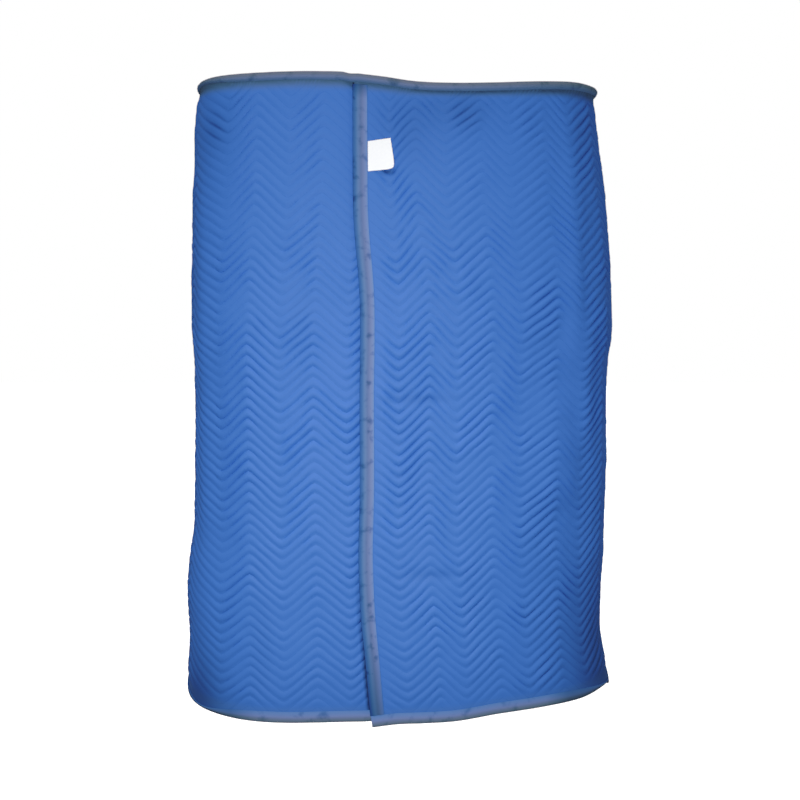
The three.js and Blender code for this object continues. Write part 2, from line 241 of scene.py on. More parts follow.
CLOTH_DRIFT = table(
    Drift,
    (0, 24, -28),
    (150, 22, -26),
    (300, 17, -22),
    (475, 4, -2),
    (663, -4, 0),
    (1039, 0, 0),
    (1192, 4, 6),
    (1333, 5, 18),
    (1524, 6, 26),
)

QUILT_TURNS = table(
    QuiltTurn,
    (0, -1 / 12, 0.1),
    (164, 1, 0.1),
    (230, 1.5, 0.1),
    (314, 2, -0.05),
    (384, 2.5, -0.15),
    (480, 3, 0.1),
    (555, 3.5, 0.1),
    (665, 4, 0.2),
    (2380, 16, 0.25),
    (2516, 16.5, 0.25),
    (2593, 17, 0.25),
    (2752, 18, 0.25),
    (3048, 19 + 11 / 12, 0.25),
)

FOLDS = table(
    Fold,
    # Soft corner lines down the right and left of the front.
    (530, 420, 90, 34, 420, 7),
    (572, 730, 90, 32, 190, 9),
    (485, 890, 90, 70, 170, 9),
    (2452, 700, 90, 30, 560, 5),
    # Level puckers beside the flap, drawn in by its tape.
    (130, 742, 7, 13, 92, -4),
    (160, 1165, 5, 15, 90, -3),
    # The hollow below the top seam, right of the flap.
    (190, 60, 0, 34, 150, -4),
    # Long hanging folds round the back.
    (1150, 700, 88, 40, 600, -8),
    (1620, 900, 93, 45, 560, 8),
    (2120, 800, 90, 40, 620, -7),
)

# Patches of painted shade on the pad cloth.
SHADE_PATCHES = table(
    Patch,
    # Painted shade in the hollow right of the flap, and below the left end of the top seam.
    (190, 50, 170, 60, 0.16),
    (120, 125, 90, 70, 0.16),
    (2480, 150, 90, 110, 0.09),
    # Painted shade in the level puckers beside the flap.
    (130, 742, 80, 9, 0.16),
    (160, 1165, 80, 11, 0.14),
    # Painted shadow under the label's free corner.
    (74, 217, 17, 5, 0.75),
    # Painted shade round the deepest rows of stitching below the top seam.
    (248, 72, 60, 45, 0.1),
    (2500, 115, 45, 45, 0.12),
    # Painted shade at the lower corners of the front.
    (630, 1440, 110, 210, 0.5),
    (2460, 1500, 80, 120, 0.5),
)

# Where the rows of stitching are drawn in deep and sharp, with painted shade along them, or lie slack where
# the share is negative.
PINCHES = table(
    Patch,
    # Below the top seam, right of the flap.
    (248, 76, 38, 40, 1),
    # Down from the right ear of the top seam.
    (600, 90, 40, 45, 0.75),
    (576, 170, 35, 60, 0.4),
    # Below the left end of the top seam.
    (2500, 112, 40, 40, 0.95),
    (2562, 50, 30, 30, 0.3),
    # Over the right and the left of the front.
    (110, 117, 50, 70, 0.35),
    (399, 80, 40, 45, 0.35),
    (123, 837, 50, 200, 0.3),
    (429, 567, 50, 110, 0.4),
    (441, 1330, 50, 120, 0.25),
    (441, 1100, 40, 100, 0.3),
    (520, 1300, 35, 150, 0.4),
    (2560, 900, 50, 300, 0.14),
    (2630, 1330, 35, 110, 0.45),
    (2720, 570, 30, 70, 0.3),
    # Slack patches of the front.
    (525, 740, 34, 130, -0.8),
    (410, 385, 45, 80, -0.4),
    (425, 760, 45, 80, -0.6),
    (275, 960, 45, 80, -0.75),
    (200, 150, 40, 110, -0.35),
    (350, 200, 40, 160, -0.65),
    (350, 530, 35, 110, -0.4),
    (130, 560, 35, 80, -0.3),
    (130, 1340, 40, 100, -0.25),
    (2550, 450, 30, 140, -0.4),
    (2720, 260, 35, 140, -0.45),
    (2805, 400, 35, 130, -0.5),
    (2715, 1100, 40, 80, -0.45),
    (2430, 1330, 45, 230, -0.6),
    (2800, 640, 30, 60, -0.6),
    (2705, 1300, 45, 150, -0.65),
)

# Painted shade in the crease below the top seam, most right of the flap.
SEAM_SHADE = table(
    SeamShade,
    (0, 0.35),
    (120, 0.42),
    (400, 0.5),
    (700, 0.42),
    (1100, 0.25),
    (2400, 0.25),
    (3048, 0.25),
)

# The flap's tape: paler at its sewn edge, with painted shade towards its fold and a darker line down its
# middle.
FLAP_TINTS_AND_SHADE = table(
    TapeTintAndShade,
    (0.0, "#597aba"),
    (0.07, "#647eb6"),
    (0.16, "#677bae"),
    (0.26, "#6477a5"),
    (0.36, "#60719c"),
    (0.5, "#586b95"),
    (0.7, "#58729f"),
    (0.8, "#4f6d9c"),
    (0.9, "#446396"),
    (1.0, "#3c5a94"),
)
# The top tape: painted shade on its lower half, where it turns under its roll.
TOP_TINTS_AND_SHADE = table(
    TapeTintAndShade,
    (0.0, "#53678f"),
    (0.35, "#596a90"),
    (0.6, "#606f90"),
    (0.9, "#5f6980"),
    (1.0, "#666e80"),
)
# The hem's tape: painted shade and soil towards its fold, which turns under.
HEM_TINTS_AND_SHADE = table(
    TapeTintAndShade,
    (0.0, "#5170a9"),
    (0.2, "#5a75ab"),
    (0.35, "#6077aa"),
    (0.5, "#6577a6"),
    (0.7, "#616e8e"),
    (0.85, "#5d6a82"),
    (1.0, "#5a6477"),
)

# Painted shadow at the top end of the flap's tape, where it runs under the top tape; darker towards its lower
# end, and round the sides and the back of the hem's tape.
FLAP_SHADOW_AND_DARK_END = table(
    DarkStretch,
    (0, 22, 50),
    (1524, 4, 224),
)
HEM_DARK_STRETCH = table(DarkStretch, (1532, 1020, 1085))


def smooth_column(rows: Sequence[NamedTuple], key: str, column: str, at: np.ndarray) -> np.ndarray:
    """Read a smooth curve through the rows of a table.

    Args:
        rows: Table rows, sorted by the key column.
        key: Column that gives the rows' places.
        column: Column to read.
        at: Places to read at.

    Returns:
        The column's values at those places.
    """
    places = np.array([getattr(row, key) for row in rows], float)
    values = np.array([getattr(row, column) for row in rows], float)
    steepness = np.diff(values) / np.diff(places)
    inner = (steepness[:-1] + steepness[1:]) / 2
    slopes = np.concatenate((steepness[:1], inner, steepness[-1:]))
    place = np.clip(at, places[0], places[-1])
    low = np.clip(np.searchsorted(places, place) - 1, 0, len(places) - 2)
    span = places[low + 1] - places[low]
    t = (place - places[low]) / span
    start = (1 + 2 * t) * (1 - t) ** 2 * values[low] + t * (1 - t) ** 2 * span * slopes[low]
    return start + t * t * (3 - 2 * t) * values[low + 1] + t * t * (t - 1) * span * slopes[low + 1]


def smoothstep(value: np.ndarray, low: float, high: float) -> np.ndarray:
    """Ease from 0 at low to 1 at high."""
    t = np.clip((value - low) / (high - low), 0, 1)
    return t * t * (3 - 2 * t)


def bell(value: np.ndarray, middle: float, half_width: float) -> np.ndarray:
    """Give a bell curve, 1 at its middle."""
    return np.exp(-(((value - middle) / half_width) ** 2))


def patches_at(patches: Sequence[Patch], along: np.ndarray, drop: np.ndarray) -> np.ndarray:
    """Add up soft patches of the cloth.

    Args:
        patches: Table of patches.
        along: Lengths along the wrap as it hangs.
        drop: Drops below its top edge.

    Returns:
        The patches' shares at those places.
    """
    total = np.zeros_like(along)
    for patch in patches:
        total += patch.share * bell(along, patch.along, patch.wide) * bell(drop, patch.drop, patch.tall)
    return total


class Unevenness(Enum):
    """The uneven fields of the cloth, by where each lies in the noise."""

    SLOW_WAVES = 1.0
    PUFF = 3.0
    WANDER = 4.0
    FINE_PUCKERS = 5.0
    BROAD_PUCKERS = 6.0
    PATCHY_PUFF = 7.0
    PINCHES = 8.0


def soft_noise(across: np.ndarray, down: np.ndarray, grain: float, which: Unevenness) -> np.ndarray:
    """Read a smooth uneven field, the same on each run.

    Args:
        across: First coordinates, in millimetres.
        down: Second coordinates, in millimetres.
        grain: Size of the field's lumps, in millimetres.
        which: Field to read.

    Returns:
        Values of about -1 to 1.
    """
    return np.array([noise.noise((a, d, which.value)) for a, d in zip(across / grain, down / grain)])


@dataclass
class Drape:
    """The way in which the wrap hangs."""

    length: float = 3048.0
    height: float = 1524.0
    girth: float = 2854.0
    flap_edge_x: float = -97.0
    front_left_squareness: float = 3.6
    front_right_squareness: float = 2.2
    back_squareness: float = 3.0
    lap_lift: float = 5.0
    flap_bend: tuple[float, float] = (215.0, 340.0)
    underlap_bend: tuple[float, float] = (2680.0, 2814.0)
    sway_reach: float = 250.0
    # Where along the wrap each panel's drift starts, is full, fades and ends.
    drift_left: tuple[float, float, float, float] = (2150.0, 2400.0, 2790.0, 2990.0)
    drift_right: tuple[float, float, float, float] = (40.0, 160.0, 620.0, 900.0)
    # Level heights of the edges, and the drops over which the shape of each edge fades from the rows between.
    level_top: float = 35.0
    level_hem: float = -1474.0
    top_fades_over: float = 260.0
    hem_grows_over: tuple[float, float] = (200.0, 1000.0)
    # The crease below the top seam: its drop, half width and depth.
    seam_drop: float = 21.0
    seam_width: float = 13.0
    seam_depth: float = 3.0
    # Slow waves of the cloth, and the drops over which the top seam lets them grow.
    uneven: float = 1.8
    uneven_grain: float = 260.0
    uneven_grows_over: tuple[float, float] = (25.0, 120.0)
    girth_steps: int = 1440
    settling_rounds: int = 20
    angles: np.ndarray = field(init=False)
    lengths: np.ndarray = field(init=False)

    def __post_init__(self) -> None:
        """Measure the cloth's length once round the middle section, from the flap's edge."""
        start = math.atan2(-MIDDLE_SECTION.depth, self.flap_edge_x)
        for _ in range(self.settling_rounds):
            radius = float(self.radius(np.array([start]), MIDDLE_SECTION)[0])
            start = math.atan2(radius * math.sin(start), self.flap_edge_x)
        self.angles = start + np.linspace(0, 2 * math.pi, self.girth_steps + 1)
        radii = self.radius(self.angles, MIDDLE_SECTION)
        steps = np.hypot(np.diff(radii * np.cos(self.angles)), np.diff(radii * np.sin(self.angles)))
        lengths = np.concatenate(([0.0], np.cumsum(steps)))
        self.lengths = lengths * self.girth / lengths[-1]

    def quarter(self, spots: np.ndarray, reach: Section) -> tuple[np.ndarray, np.ndarray]:
        """Pick the reaches and the squareness of the quarter in which each place lies.

        Args:
            spots: Rows of x and y.
            reach: Section whose reaches are picked.

        Returns:
            Rows of the reach sideways and the reach to the front or back, and a column of the squareness.
        """
        left, front = (spots < 0).T
        sideways = np.where(left, reach.left, reach.right)
        reaches = np.column_stack((sideways, np.full_like(sideways, reach.depth)))
        power = np.where(left, self.front_left_squareness, self.front_right_squareness)
        return reaches, np.where(front, power, self.back_squareness)[:, None]

    def radius(self, angle: np.ndarray, reach: Section) -> np.ndarray:
        """Measure from the middle to the section's outline.

        Args:
            angle: Directions from the middle, in radians.
            reach: Section that is measured.

        Returns:
            Distances in millimetres.
        """
        direction = np.column_stack((np.cos(angle), np.sin(angle)))
        reaches, power = self.quarter(direction, reach)
        return np.sum(np.abs(direction / reaches) ** power, axis=1) ** (-1 / power[:, 0])

    def stand_off(
        self, angle: np.ndarray, drop: np.ndarray, distance: np.ndarray, height: np.ndarray
    ) -> np.ndarray:
        """Place points straight out from the outlines of the sections.

        Args:
            angle: Directions from the middle, in radians.
            drop: Drops that pick the sections.
            distance: Distances out from the outlines.
            height: Heights of the points.

        Returns:
            Rows of x, y and z in metres.
        """
        reach = self.section(drop)
        direction = np.column_stack((np.cos(angle), np.sin(angle)))
        spots = direction * self.radius(angle, reach)[:, None]
        reaches, power = self.quarter(spots, reach)
        slope = np.sign(spots) * np.abs(spots / reaches) ** (power - 1) / reaches
        outward = slope / np.hypot(*slope.T)[:, None]
        return np.column_stack((spots + outward * distance[:, None], height)) * MM

    def angle_at(self, along: np.ndarray) -> np.ndarray:
        """Give the direction from the middle in which a point of the wrap's length lies."""
        turns = np.floor(along / self.girth)
        return np.interp(along - turns * self.girth, self.lengths, self.angles) + turns * 2 * math.pi

    def lift(self, along: np.ndarray) -> np.ndarray:
        """Give how far a layer of the front lap stands off the plain section."""
        flap = 1 - smoothstep(along, *self.flap_bend)
        return self.lap_lift * (flap - smoothstep(along, *self.underlap_bend))

    def drifted(self, along: np.ndarray, drop: np.ndarray) -> np.ndarray:
        """Move places of the cloth sideways, as the hung cloth has drifted.

        Args:
            along: Lengths along the cut cloth.
            drop: Drops below its top edge.

        Returns:
            Lengths along the wrap as it hangs.
        """
        hung = along
        for side, zone in (("left", self.drift_left), ("right", self.drift_right)):
            starts, full, fades, ends = zone
            share = smoothstep(along, starts, full) * (1 - smoothstep(along, fades, ends))
            hung = hung + share * smooth_column(CLOTH_DRIFT, "drop", side, drop)
        return hung

    def sway(self, drop: np.ndarray) -> np.ndarray:
        """Give how far the flap's free edge sways sideways."""
        return smooth_column(FLAP_SWAY, "drop", "sideways", drop)

    def rise(self, along: np.ndarray, drop: np.ndarray) -> np.ndarray:
        """Add up the slow waves, the seam's crease and the soft folds at places of the wrap.

        Args:
            along: Lengths along the wrap.
            drop: Drops below its top edge.

        Returns:
            How far they stand out.
        """
        total = self.uneven * soft_noise(along, drop, self.uneven_grain, Unevenness.SLOW_WAVES)
        total *= smoothstep(drop, *self.uneven_grows_over)
        total -= self.seam_depth * bell(drop, self.seam_drop, self.seam_width)
        for fold in FOLDS:
            total += fold.rise * self.fold_share(fold, along, drop)
        return total

    def fold_share(self, fold: Fold, along: np.ndarray, drop: np.ndarray) -> np.ndarray:
        """Give a fold's share of its rise, 1 at its middle and 0 past its ends.

        Args:
            fold: Fold that is measured.
            along: Lengths along the wrap.
            drop: Drops below its top edge.

        Returns:
            Shares of 0 to 1.
        """
        turn = math.radians(fold.turn)
        sideways, down = along - fold.along, drop - fold.drop
        lengthwise = (sideways * math.cos(turn) + down * math.sin(turn)) / fold.length
        across = down * math.cos(turn) - sideways * math.sin(turn)
        return np.maximum(0, 1 - lengthwise**4) ** 2 * bell(across, 0, fold.width)

    def edge(self, along: np.ndarray, column: str) -> np.ndarray:
        """Give the height of the wrap's top or hem at a place along it."""
        return smooth_column(EDGE_HEIGHTS, "along", column, along)

    def section(self, drop: np.ndarray) -> Section:
        """Give the plan sections at some drops, as one section of arrays."""
        sides = [smooth_column(SECTIONS, "drop", side, drop) for side in Section._fields[1:]]
        return Section(drop, *sides)

    def point(self, along: np.ndarray, drop: np.ndarray, out: np.ndarray) -> np.ndarray:
        """Place points of the cloth.

        Args:
            along: Lengths along the wrap.
            drop: Drops below the top edge.
            out: Distances out.

        Returns:
            Rows of x, y and z in metres.
        """
        near = 1 - smoothstep(along, 0, self.sway_reach)
        angle = self.angle_at(along + near * self.sway(drop))
        distance = out + self.rise(along, drop) + self.lift(along)
        return self.stand_off(angle, drop, distance, self.level(along, drop))

    def level(self, along: np.ndarray, drop: np.ndarray) -> np.ndarray:
        """Give the height of places of the cloth, whose rows run level between its uneven edges.

        Args:
            along: Lengths along the wrap.
            drop: Drops below the top edge.

        Returns:
            Heights in millimetres.
        """
        level = self.level_top + (self.level_hem - self.level_top) * drop / self.height
        top_share = np.maximum(0, 1 - drop / self.top_fades_over) ** 2
        hem_share = smoothstep(drop, *self.hem_grows_over)
        top_rise = self.edge(along, "top") - self.level_top
        return level + top_share * top_rise + hem_share * (self.edge(along, "hem") - self.level_hem)


@dataclass(frozen=True)
class Quilting:
    """Zigzag rows of stitching, with the filling puffed up between them."""

    pitch: float = 25.0
    fall: float = 61.5
    crispness: float = 0.982
    lean_steepness: float = 2.0
    puff: float = 3.6
    # Rise of the padding at shares of the way from one row of stitching to the next.
    shares: tuple[float, ...] = (0.0, 0.16, 0.36, 0.64, 0.84)
    rises: tuple[float, ...] = (0.0, 0.45, 0.93, 0.93, 0.45)

    def turn_at(self, along: np.ndarray) -> np.ndarray:
        """Give how far round its repeats the zigzag is, in radians from a crest."""
        return 2 * math.pi * smooth_column(QUILT_TURNS, "along", "turns", along)

    def fall_at(self, along: np.ndarray) -> np.ndarray:
        """Give how far the rounded zigzag has fallen below its crests."""
        wave = np.arcsin(self.crispness * np.cos(self.turn_at(along))) / math.asin(self.crispness)
        return self.fall * (1 - wave) / 2

    def fullness_at(self, along: np.ndarray) -> np.ndarray:
        """Give how full the padding is, by how the rows rise or fall."""
        lean = smooth_column(QUILT_TURNS, "along", "lean", along)
        return 1 - lean * np.clip(self.lean_steepness * np.sin(self.turn_at(along)), -1, 1)

    def row_at(self, along: np.ndarray, drop: np.ndarray) -> np.ndarray:
        """Count the rows of stitching from the top, with fractions between them."""
        return (drop - self.fall_at(along) + self.fall) / self.pitch

    def drop_of(self, row: int) -> float:
        """Give how far a row of faces lies below the first row of stitching."""
        ridge, step = divmod(row, len(self.shares))
        return (ridge + self.shares[step]) * self.pitch

    def rise_at(self, row: np.ndarray) -> np.ndarray:
        """Give the padding's rise, 0 at the stitching and 1 at the most."""
        return np.interp(row % 1.0, (*self.shares, 1.0), (*self.rises, 0.0))


def new_piece(name: str, mesh_maker: bmesh.types.BMesh) -> bpy.types.Object:
    """Turn a bmesh into an object at the origin.

    Args:
        name: Name of the object and its mesh.
        mesh_maker: Finished bmesh, which is freed.

    Returns:
        The linked object.
    """
    mesh = bpy.data.meshes.new(name)
    mesh_maker.to_mesh(mesh)
    mesh_maker.free()
    piece = bpy.data.objects.new(name, mesh)
    bpy.context.scene.collection.objects.link(piece)
    return piece


def places_of(piece: bpy.types.Object) -> np.ndarray:
    """Read a mesh's points.

    Args:
        piece: Object whose mesh is read.

    Returns:
        Rows of x, y and z.
    """
    places = np.empty(len(piece.data.vertices) * 3)
    piece.data.vertices.foreach_get("co", places)
    return places.reshape(-1, 3)


def shape_piece(piece: bpy.types.Object, places: np.ndarray, sharp_angle: float = 50.0) -> None:
    """Move a mesh's points and shade it smooth.

    Args:
        piece: Object whose mesh is shaped.
        places: Rows of x, y and z, one for each point.
        sharp_angle: Angle in degrees past which an edge stays sharp.
    """
    piece.data.vertices.foreach_set("co", places.ravel())
    piece.data.polygons.foreach_set("use_smooth", np.ones(len(piece.data.polygons), bool))
    piece.data.set_sharp_from_angle(angle=math.radians(sharp_angle))
    piece.data.update()


def write_uv(piece: bpy.types.Object, name: str, across: np.ndarray, down: np.ndarray) -> None:
    """Give a mesh a UV map from one pair of values for each point.

    Args:
        piece: Object whose mesh gets the map.
        name: Name of the map.
        across: First value of each point.
        down: Second value of each point.
    """
    corners = np.empty(len(piece.data.loops), int)
    piece.data.loops.foreach_get("vertex_index", corners)
    layer = piece.data.uv_layers.new(name=name)
    layer.data.foreach_set("uv", np.column_stack((across, down))[corners].ravel())


def flat_grid(columns: int, rows: int, width: float, height: float) -> bmesh.types.BMesh:
    """Make a flat grid that runs right from the origin, and down from it.

    Args:
        columns: Faces across.
        rows: Faces down.
        width: Extent along +X.
        height: Extent along -Y.

    Returns:
        A bmesh whose faces point to +Z.
    """
    cloth = bmesh.new()
    bmesh.ops.create_grid(cloth, x_segments=columns, y_segments=rows, size=0.5)
    bmesh.ops.translate(cloth, vec=(0.5, -0.5, 0), verts=cloth.verts)
    bmesh.ops.scale(cloth, vec=(width, height, 1), verts=cloth.verts)
    return cloth


def thicken(cloth: bmesh.types.BMesh, thick: float) -> None:
    """Close a flat cloth into a solid.

    Args:
        cloth: Flat cloth, whose faces become the solid's lower side.
        thick: How far up the solid reaches.
    """
    raised = bmesh.ops.extrude_face_region(cloth, geom=cloth.faces[:])
    moved = [part for part in raised["geom"] if isinstance(part, bmesh.types.BMVert)]
    bmesh.ops.translate(cloth, vec=(0, 0, thick), verts=moved)
    bmesh.ops.recalc_face_normals(cloth, faces=cloth.faces)


def cut_off(cloth: bmesh.types.BMesh, place: Sequence[float], outward: Sequence[float]) -> None:
    """Cut a flat cloth along a line, and drop what lies past it.

    Args:
        cloth: Cloth that is cut.
        place: X and Y of a point on the line.
        outward: Direction straight out from the line.
    """
    parts = cloth.verts[:] + cloth.edges[:] + cloth.faces[:]
    bmesh.ops.bisect_plane(cloth, geom=parts, plane_co=(*place, 0), plane_no=(*outward, 0), clear_outer=True)


class SewnPiece(ABC):
    """A piece of the cover that takes the place of one solid."""

    node: str
    slot: str

    @abstractmethod
    def build(self) -> bpy.types.Object:
        """Build the piece's mesh and its maps."""

    def dressed(self, material: bpy.types.Material) -> bpy.types.Object:
        """Build the piece, give it its finish, and put it in the place of its solid.

        Args:
            material: The piece's finish.

        Returns:
            The dressed piece.
        """
        piece = self.build()
        piece.data.materials.append(material)
        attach(piece, "root")
        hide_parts(self.node)
        LOG.info("%s: %d faces", piece.name, len(piece.data.polygons))
        return piece


@dataclass
class QuiltedWrap(SewnPiece):
    """The length of quilted pad cloth that goes once round and laps at the front."""

    drape: Drape
    quilting: Quilting
    node: str = "quilted_wrap"
    slot: str = "pad_cloth"
    thick: float = 4.0
    # Columns of faces in a repeat of the zigzag over the front and round the back, and the back's repeats.
    front_columns: int = 18
    back_columns: int = 8
    back_turns: tuple[int, int] = (4, 15)
    # Unquilted margins under the tapes of the top, the hem and the ends, and how wide the padding's start is.
    plain_top: float = 18.0
    plain_hem: float = 28.0
    plain_ends: float = 30.0
    puffs_over: float = 30.0
    # The padding is drawn flat below the top seam, lies flatter towards the hem, and is uneven all over.
    taut_puff: float = 0.75
    taut_over: tuple[float, float] = (150.0, 480.0)
    hem_puff: float = 0.65
    hem_from: float = 760.0
    uneven: float = 0.75
    uneven_grain: float = 95.0
    patchy: float = 0.5
    patchy_grain: float = 34.0
    least_uneven: float = 0.2
    # The rows of stitching wander up and down, and are drawn in deep here and there.
    wander: float = 2.6
    wander_grain: float = 48.0
    pinch_puff: float = 0.65
    slack_puff: float = 0.8
    pinch_chance: float = 0.28
    pinch_grain: float = 60.0
    # Pale dust below the top seam and above the hem's tape: the drops at which there is none and most.
    dust_over: tuple[float, float] = (38.0, 16.0)
    hem_dust: float = 0.3
    hem_dust_over: tuple[float, float] = (1484.0, 1500.0)
    # Painted shade towards the hem, by the drops at which it starts and is most, and its share.
    hem_shade: float = 0.14
    hem_shade_over: tuple[float, float] = (1300.0, 1524.0)
    # Painted shade in the crease of the top seam: its drop and half width.
    seam_shade_at: float = 17.0
    seam_shade_width: float = 6.0
    # Painted shadow in the nook beside the flap's edge: its width, the drops between which it grows, and its
    # shares.
    nook_width: float = 16.0
    nook_over: tuple[float, float] = (1130.0, 1400.0)
    nook_shadow_shares: tuple[float, float] = (0.16, 1.5)

    def flat_cloth(self) -> bmesh.types.BMesh:
        """Cut the flat cloth, with its rows of faces along the zigzag.

        Returns:
            A closed bmesh in millimetres, the drop running down -Y.
        """
        quilting = self.quilting
        steps = len(quilting.shares)
        ridges = math.ceil((self.drape.height + quilting.fall) / quilting.pitch)
        columns = self.column_places()
        cloth = flat_grid(len(columns) - 1, ridges * steps, len(columns) - 1, ridges * steps)
        row_layer = cloth.verts.layers.int.new("row")
        falls = quilting.fall_at(columns)
        for vert in cloth.verts:
            column, row = round(vert.co.x), round(-vert.co.y)
            vert[row_layer] = row
            vert.co.x, vert.co.y = columns[column], quilting.fall - falls[column] - quilting.drop_of(row)
        for drop, outward in ((0, 1), (self.drape.height, -1)):
            cut_off(cloth, (0, -drop), (0, outward))
        thicken(cloth, self.thick)
        self.thin_out_inside(cloth, row_layer, steps)
        return cloth

    def column_places(self) -> np.ndarray:
        """Space columns of points evenly over each repeat of the zigzag, so that its tips lie on them.

        Returns:
            Lengths along the wrap.
        """
        fine = np.arange(0.0, self.drape.length + 0.5)
        turns = smooth_column(QUILT_TURNS, "along", "turns", fine)
        back_from, back_to = self.back_turns
        front = np.arange(math.ceil(turns[-1]) * self.front_columns) / self.front_columns
        front = front[(front < back_from) | (front >= back_to)]
        back = np.arange(back_from * self.back_columns, back_to * self.back_columns) / self.back_columns
        inner = np.concatenate((front[front < turns[-1]], back))
        marks = np.sort(np.concatenate((turns[[0, -1]], inner)))
        return np.interp(marks, turns, fine)

    def thin_out_inside(self, cloth: bmesh.types.BMesh, row_layer: Any, steps: int) -> None:
        """Leave the plain inner face only one row of faces for each ridge.

        Args:
            cloth: Closed flat cloth.
            row_layer: Layer that holds each point's row.
            steps: Rows of faces in a ridge.
        """
        cloth.normal_update()
        spare = []
        for edge in cloth.edges:
            a, b = edge.verts
            same_row = a[row_layer] == b[row_layer] and a[row_layer] % steps
            if same_row and all(face.normal.z < -0.5 for face in edge.link_faces):
                spare.append(edge)
        bmesh.ops.dissolve_edges(cloth, edges=spare, use_verts=True)

    def pinch_at(self, along: np.ndarray, drop: np.ndarray) -> np.ndarray:
        """Give how deep the rows of stitching are drawn in.

        Args:
            along: Lengths along the wrap as it hangs.
            drop: Drops below its top edge.

        Returns:
            Shares of 0 to 1, or down to -1 where they lie slack.
        """
        chance = soft_noise(along, drop, self.pinch_grain, Unevenness.PINCHES)
        chance = self.pinch_chance * np.maximum(0, chance) * smoothstep(drop, *self.taut_over)
        return np.clip(chance + patches_at(PINCHES, along, drop), -1, 1)

    def puff_at(self, along: np.ndarray, drop: np.ndarray, pinch: np.ndarray) -> np.ndarray:
        """Give how far the padding stands up between its stitching.

        Args:
            along: Lengths along the wrap.
            drop: Drops below its top edge.
            pinch: How deep the rows of stitching are drawn in.

        Returns:
            Rise above the sewn lines, drawn down to nothing beside the bound edges.
        """
        row = self.quilting.row_at(along, drop)
        uneven = 1 + self.uneven * soft_noise(along, drop, self.uneven_grain, Unevenness.PUFF)
        uneven += self.patchy * soft_noise(along, drop, self.patchy_grain, Unevenness.PATCHY_PUFF)
        taut = self.taut_puff + (1 - self.taut_puff) * smoothstep(drop, *self.taut_over)
        flatter = 1 - (1 - self.hem_puff) * smoothstep(drop, self.hem_from, self.drape.height)
        full = self.quilting.fullness_at(along) * taut * flatter * np.maximum(uneven, self.least_uneven)
        full *= 1 + np.where(pinch > 0, self.pinch_puff, self.slack_puff) * pinch
        return self.quilting.puff * self.quilting.rise_at(row) * full * self.clear_of_edges(along, drop)

    def clear_of_edges(self, along: np.ndarray, drop: np.ndarray) -> np.ndarray:
        """Tell how free the cloth is of its bound edges.

        Args:
            along: Lengths along the wrap.
            drop: Drops below its top edge.

        Returns:
            Shares of 0 under the tapes to 1 away from them.
        """
        from_ends = np.minimum(along, self.drape.length - along) - self.plain_ends
        from_hem = self.drape.height - drop - self.plain_hem
        nearest = np.minimum(np.minimum(drop - self.plain_top, from_hem), from_ends)
        return smoothstep(nearest, 0, self.puffs_over)

    def build(self) -> bpy.types.Object:
        """Drape the cloth.

        Returns:
            The wrap, with maps of the cloth in metres, of its quilting in metres and rows, of its shares of
            dust and painted shade, and of its pinched rows and the painted shadow in the nook.
        """
        piece = new_piece("wrap_pad_cloth", self.flat_cloth())
        flat = places_of(piece)
        along, drop = flat[:, 0], -flat[:, 1]
        outside = flat[:, 2] > self.thick / 2
        hung = self.drape.drifted(along, drop)
        pinch = self.pinch_at(hung, drop)
        out = np.where(outside, self.thick + self.puff_at(along, drop, pinch), 0.0)
        wander = self.wander * soft_noise(along, drop, self.wander_grain, Unevenness.WANDER)
        hung_drop = drop + wander * self.clear_of_edges(along, drop)
        shape_piece(piece, self.drape.point(hung, hung_drop, out))
        write_uv(piece, "cloth", along * MM, drop * MM)
        write_uv(piece, "quilting", along * MM, self.quilting.row_at(along, drop))
        # The soil and shade map holds pale dust, and shares of painted shade in patches, below the top seam
        # and towards the hem.
        dust = smoothstep(-hung_drop, *(-edge for edge in self.dust_over))
        dust += self.hem_dust * smoothstep(hung_drop, *self.hem_dust_over)
        write_uv(piece, "soil", dust, self.shade_at(hung, hung_drop))
        # The pinch map holds how deep each row is drawn in, which also sets its painted shade, and the
        # painted shadow in the nook.
        write_uv(piece, "pinch", np.maximum(pinch, 0), np.where(outside, self.nook_at(hung, hung_drop), 0))
        return piece

    def nook_at(self, along: np.ndarray, drop: np.ndarray) -> np.ndarray:
        """Give how much shadow is painted in the nook beside the flap's edge: most at the edge, and below 0
        away from it.
        """
        apart = self.drape.girth + self.drape.sway(drop) - along
        return np.interp(drop, self.nook_over, self.nook_shadow_shares) * (1 - apart / self.nook_width)

    def shade_at(self, along: np.ndarray, drop: np.ndarray) -> np.ndarray:
        """Give how much shade is painted on the cloth: in its patches, in the crease below the top seam and
        towards the hem.

        Args:
            along: Lengths along the wrap as it hangs.
            drop: Drops below its top edge.

        Returns:
            Shares of 0 to 1.
        """
        shade_share = self.hem_shade * smoothstep(drop, *self.hem_shade_over)
        seam = smooth_column(SEAM_SHADE, "along", "shade_share", along)
        shade_share += seam * bell(drop, self.seam_shade_at, self.seam_shade_width)
        return np.clip(shade_share + patches_at(SHADE_PATCHES, along, drop), 0, 1)


class TapeEdge(Enum):
    """The edges that tape is folded over."""

    TOP = "top"
    HEM = "hem"
    FLAP = "flap"
    HIDDEN = "hidden"


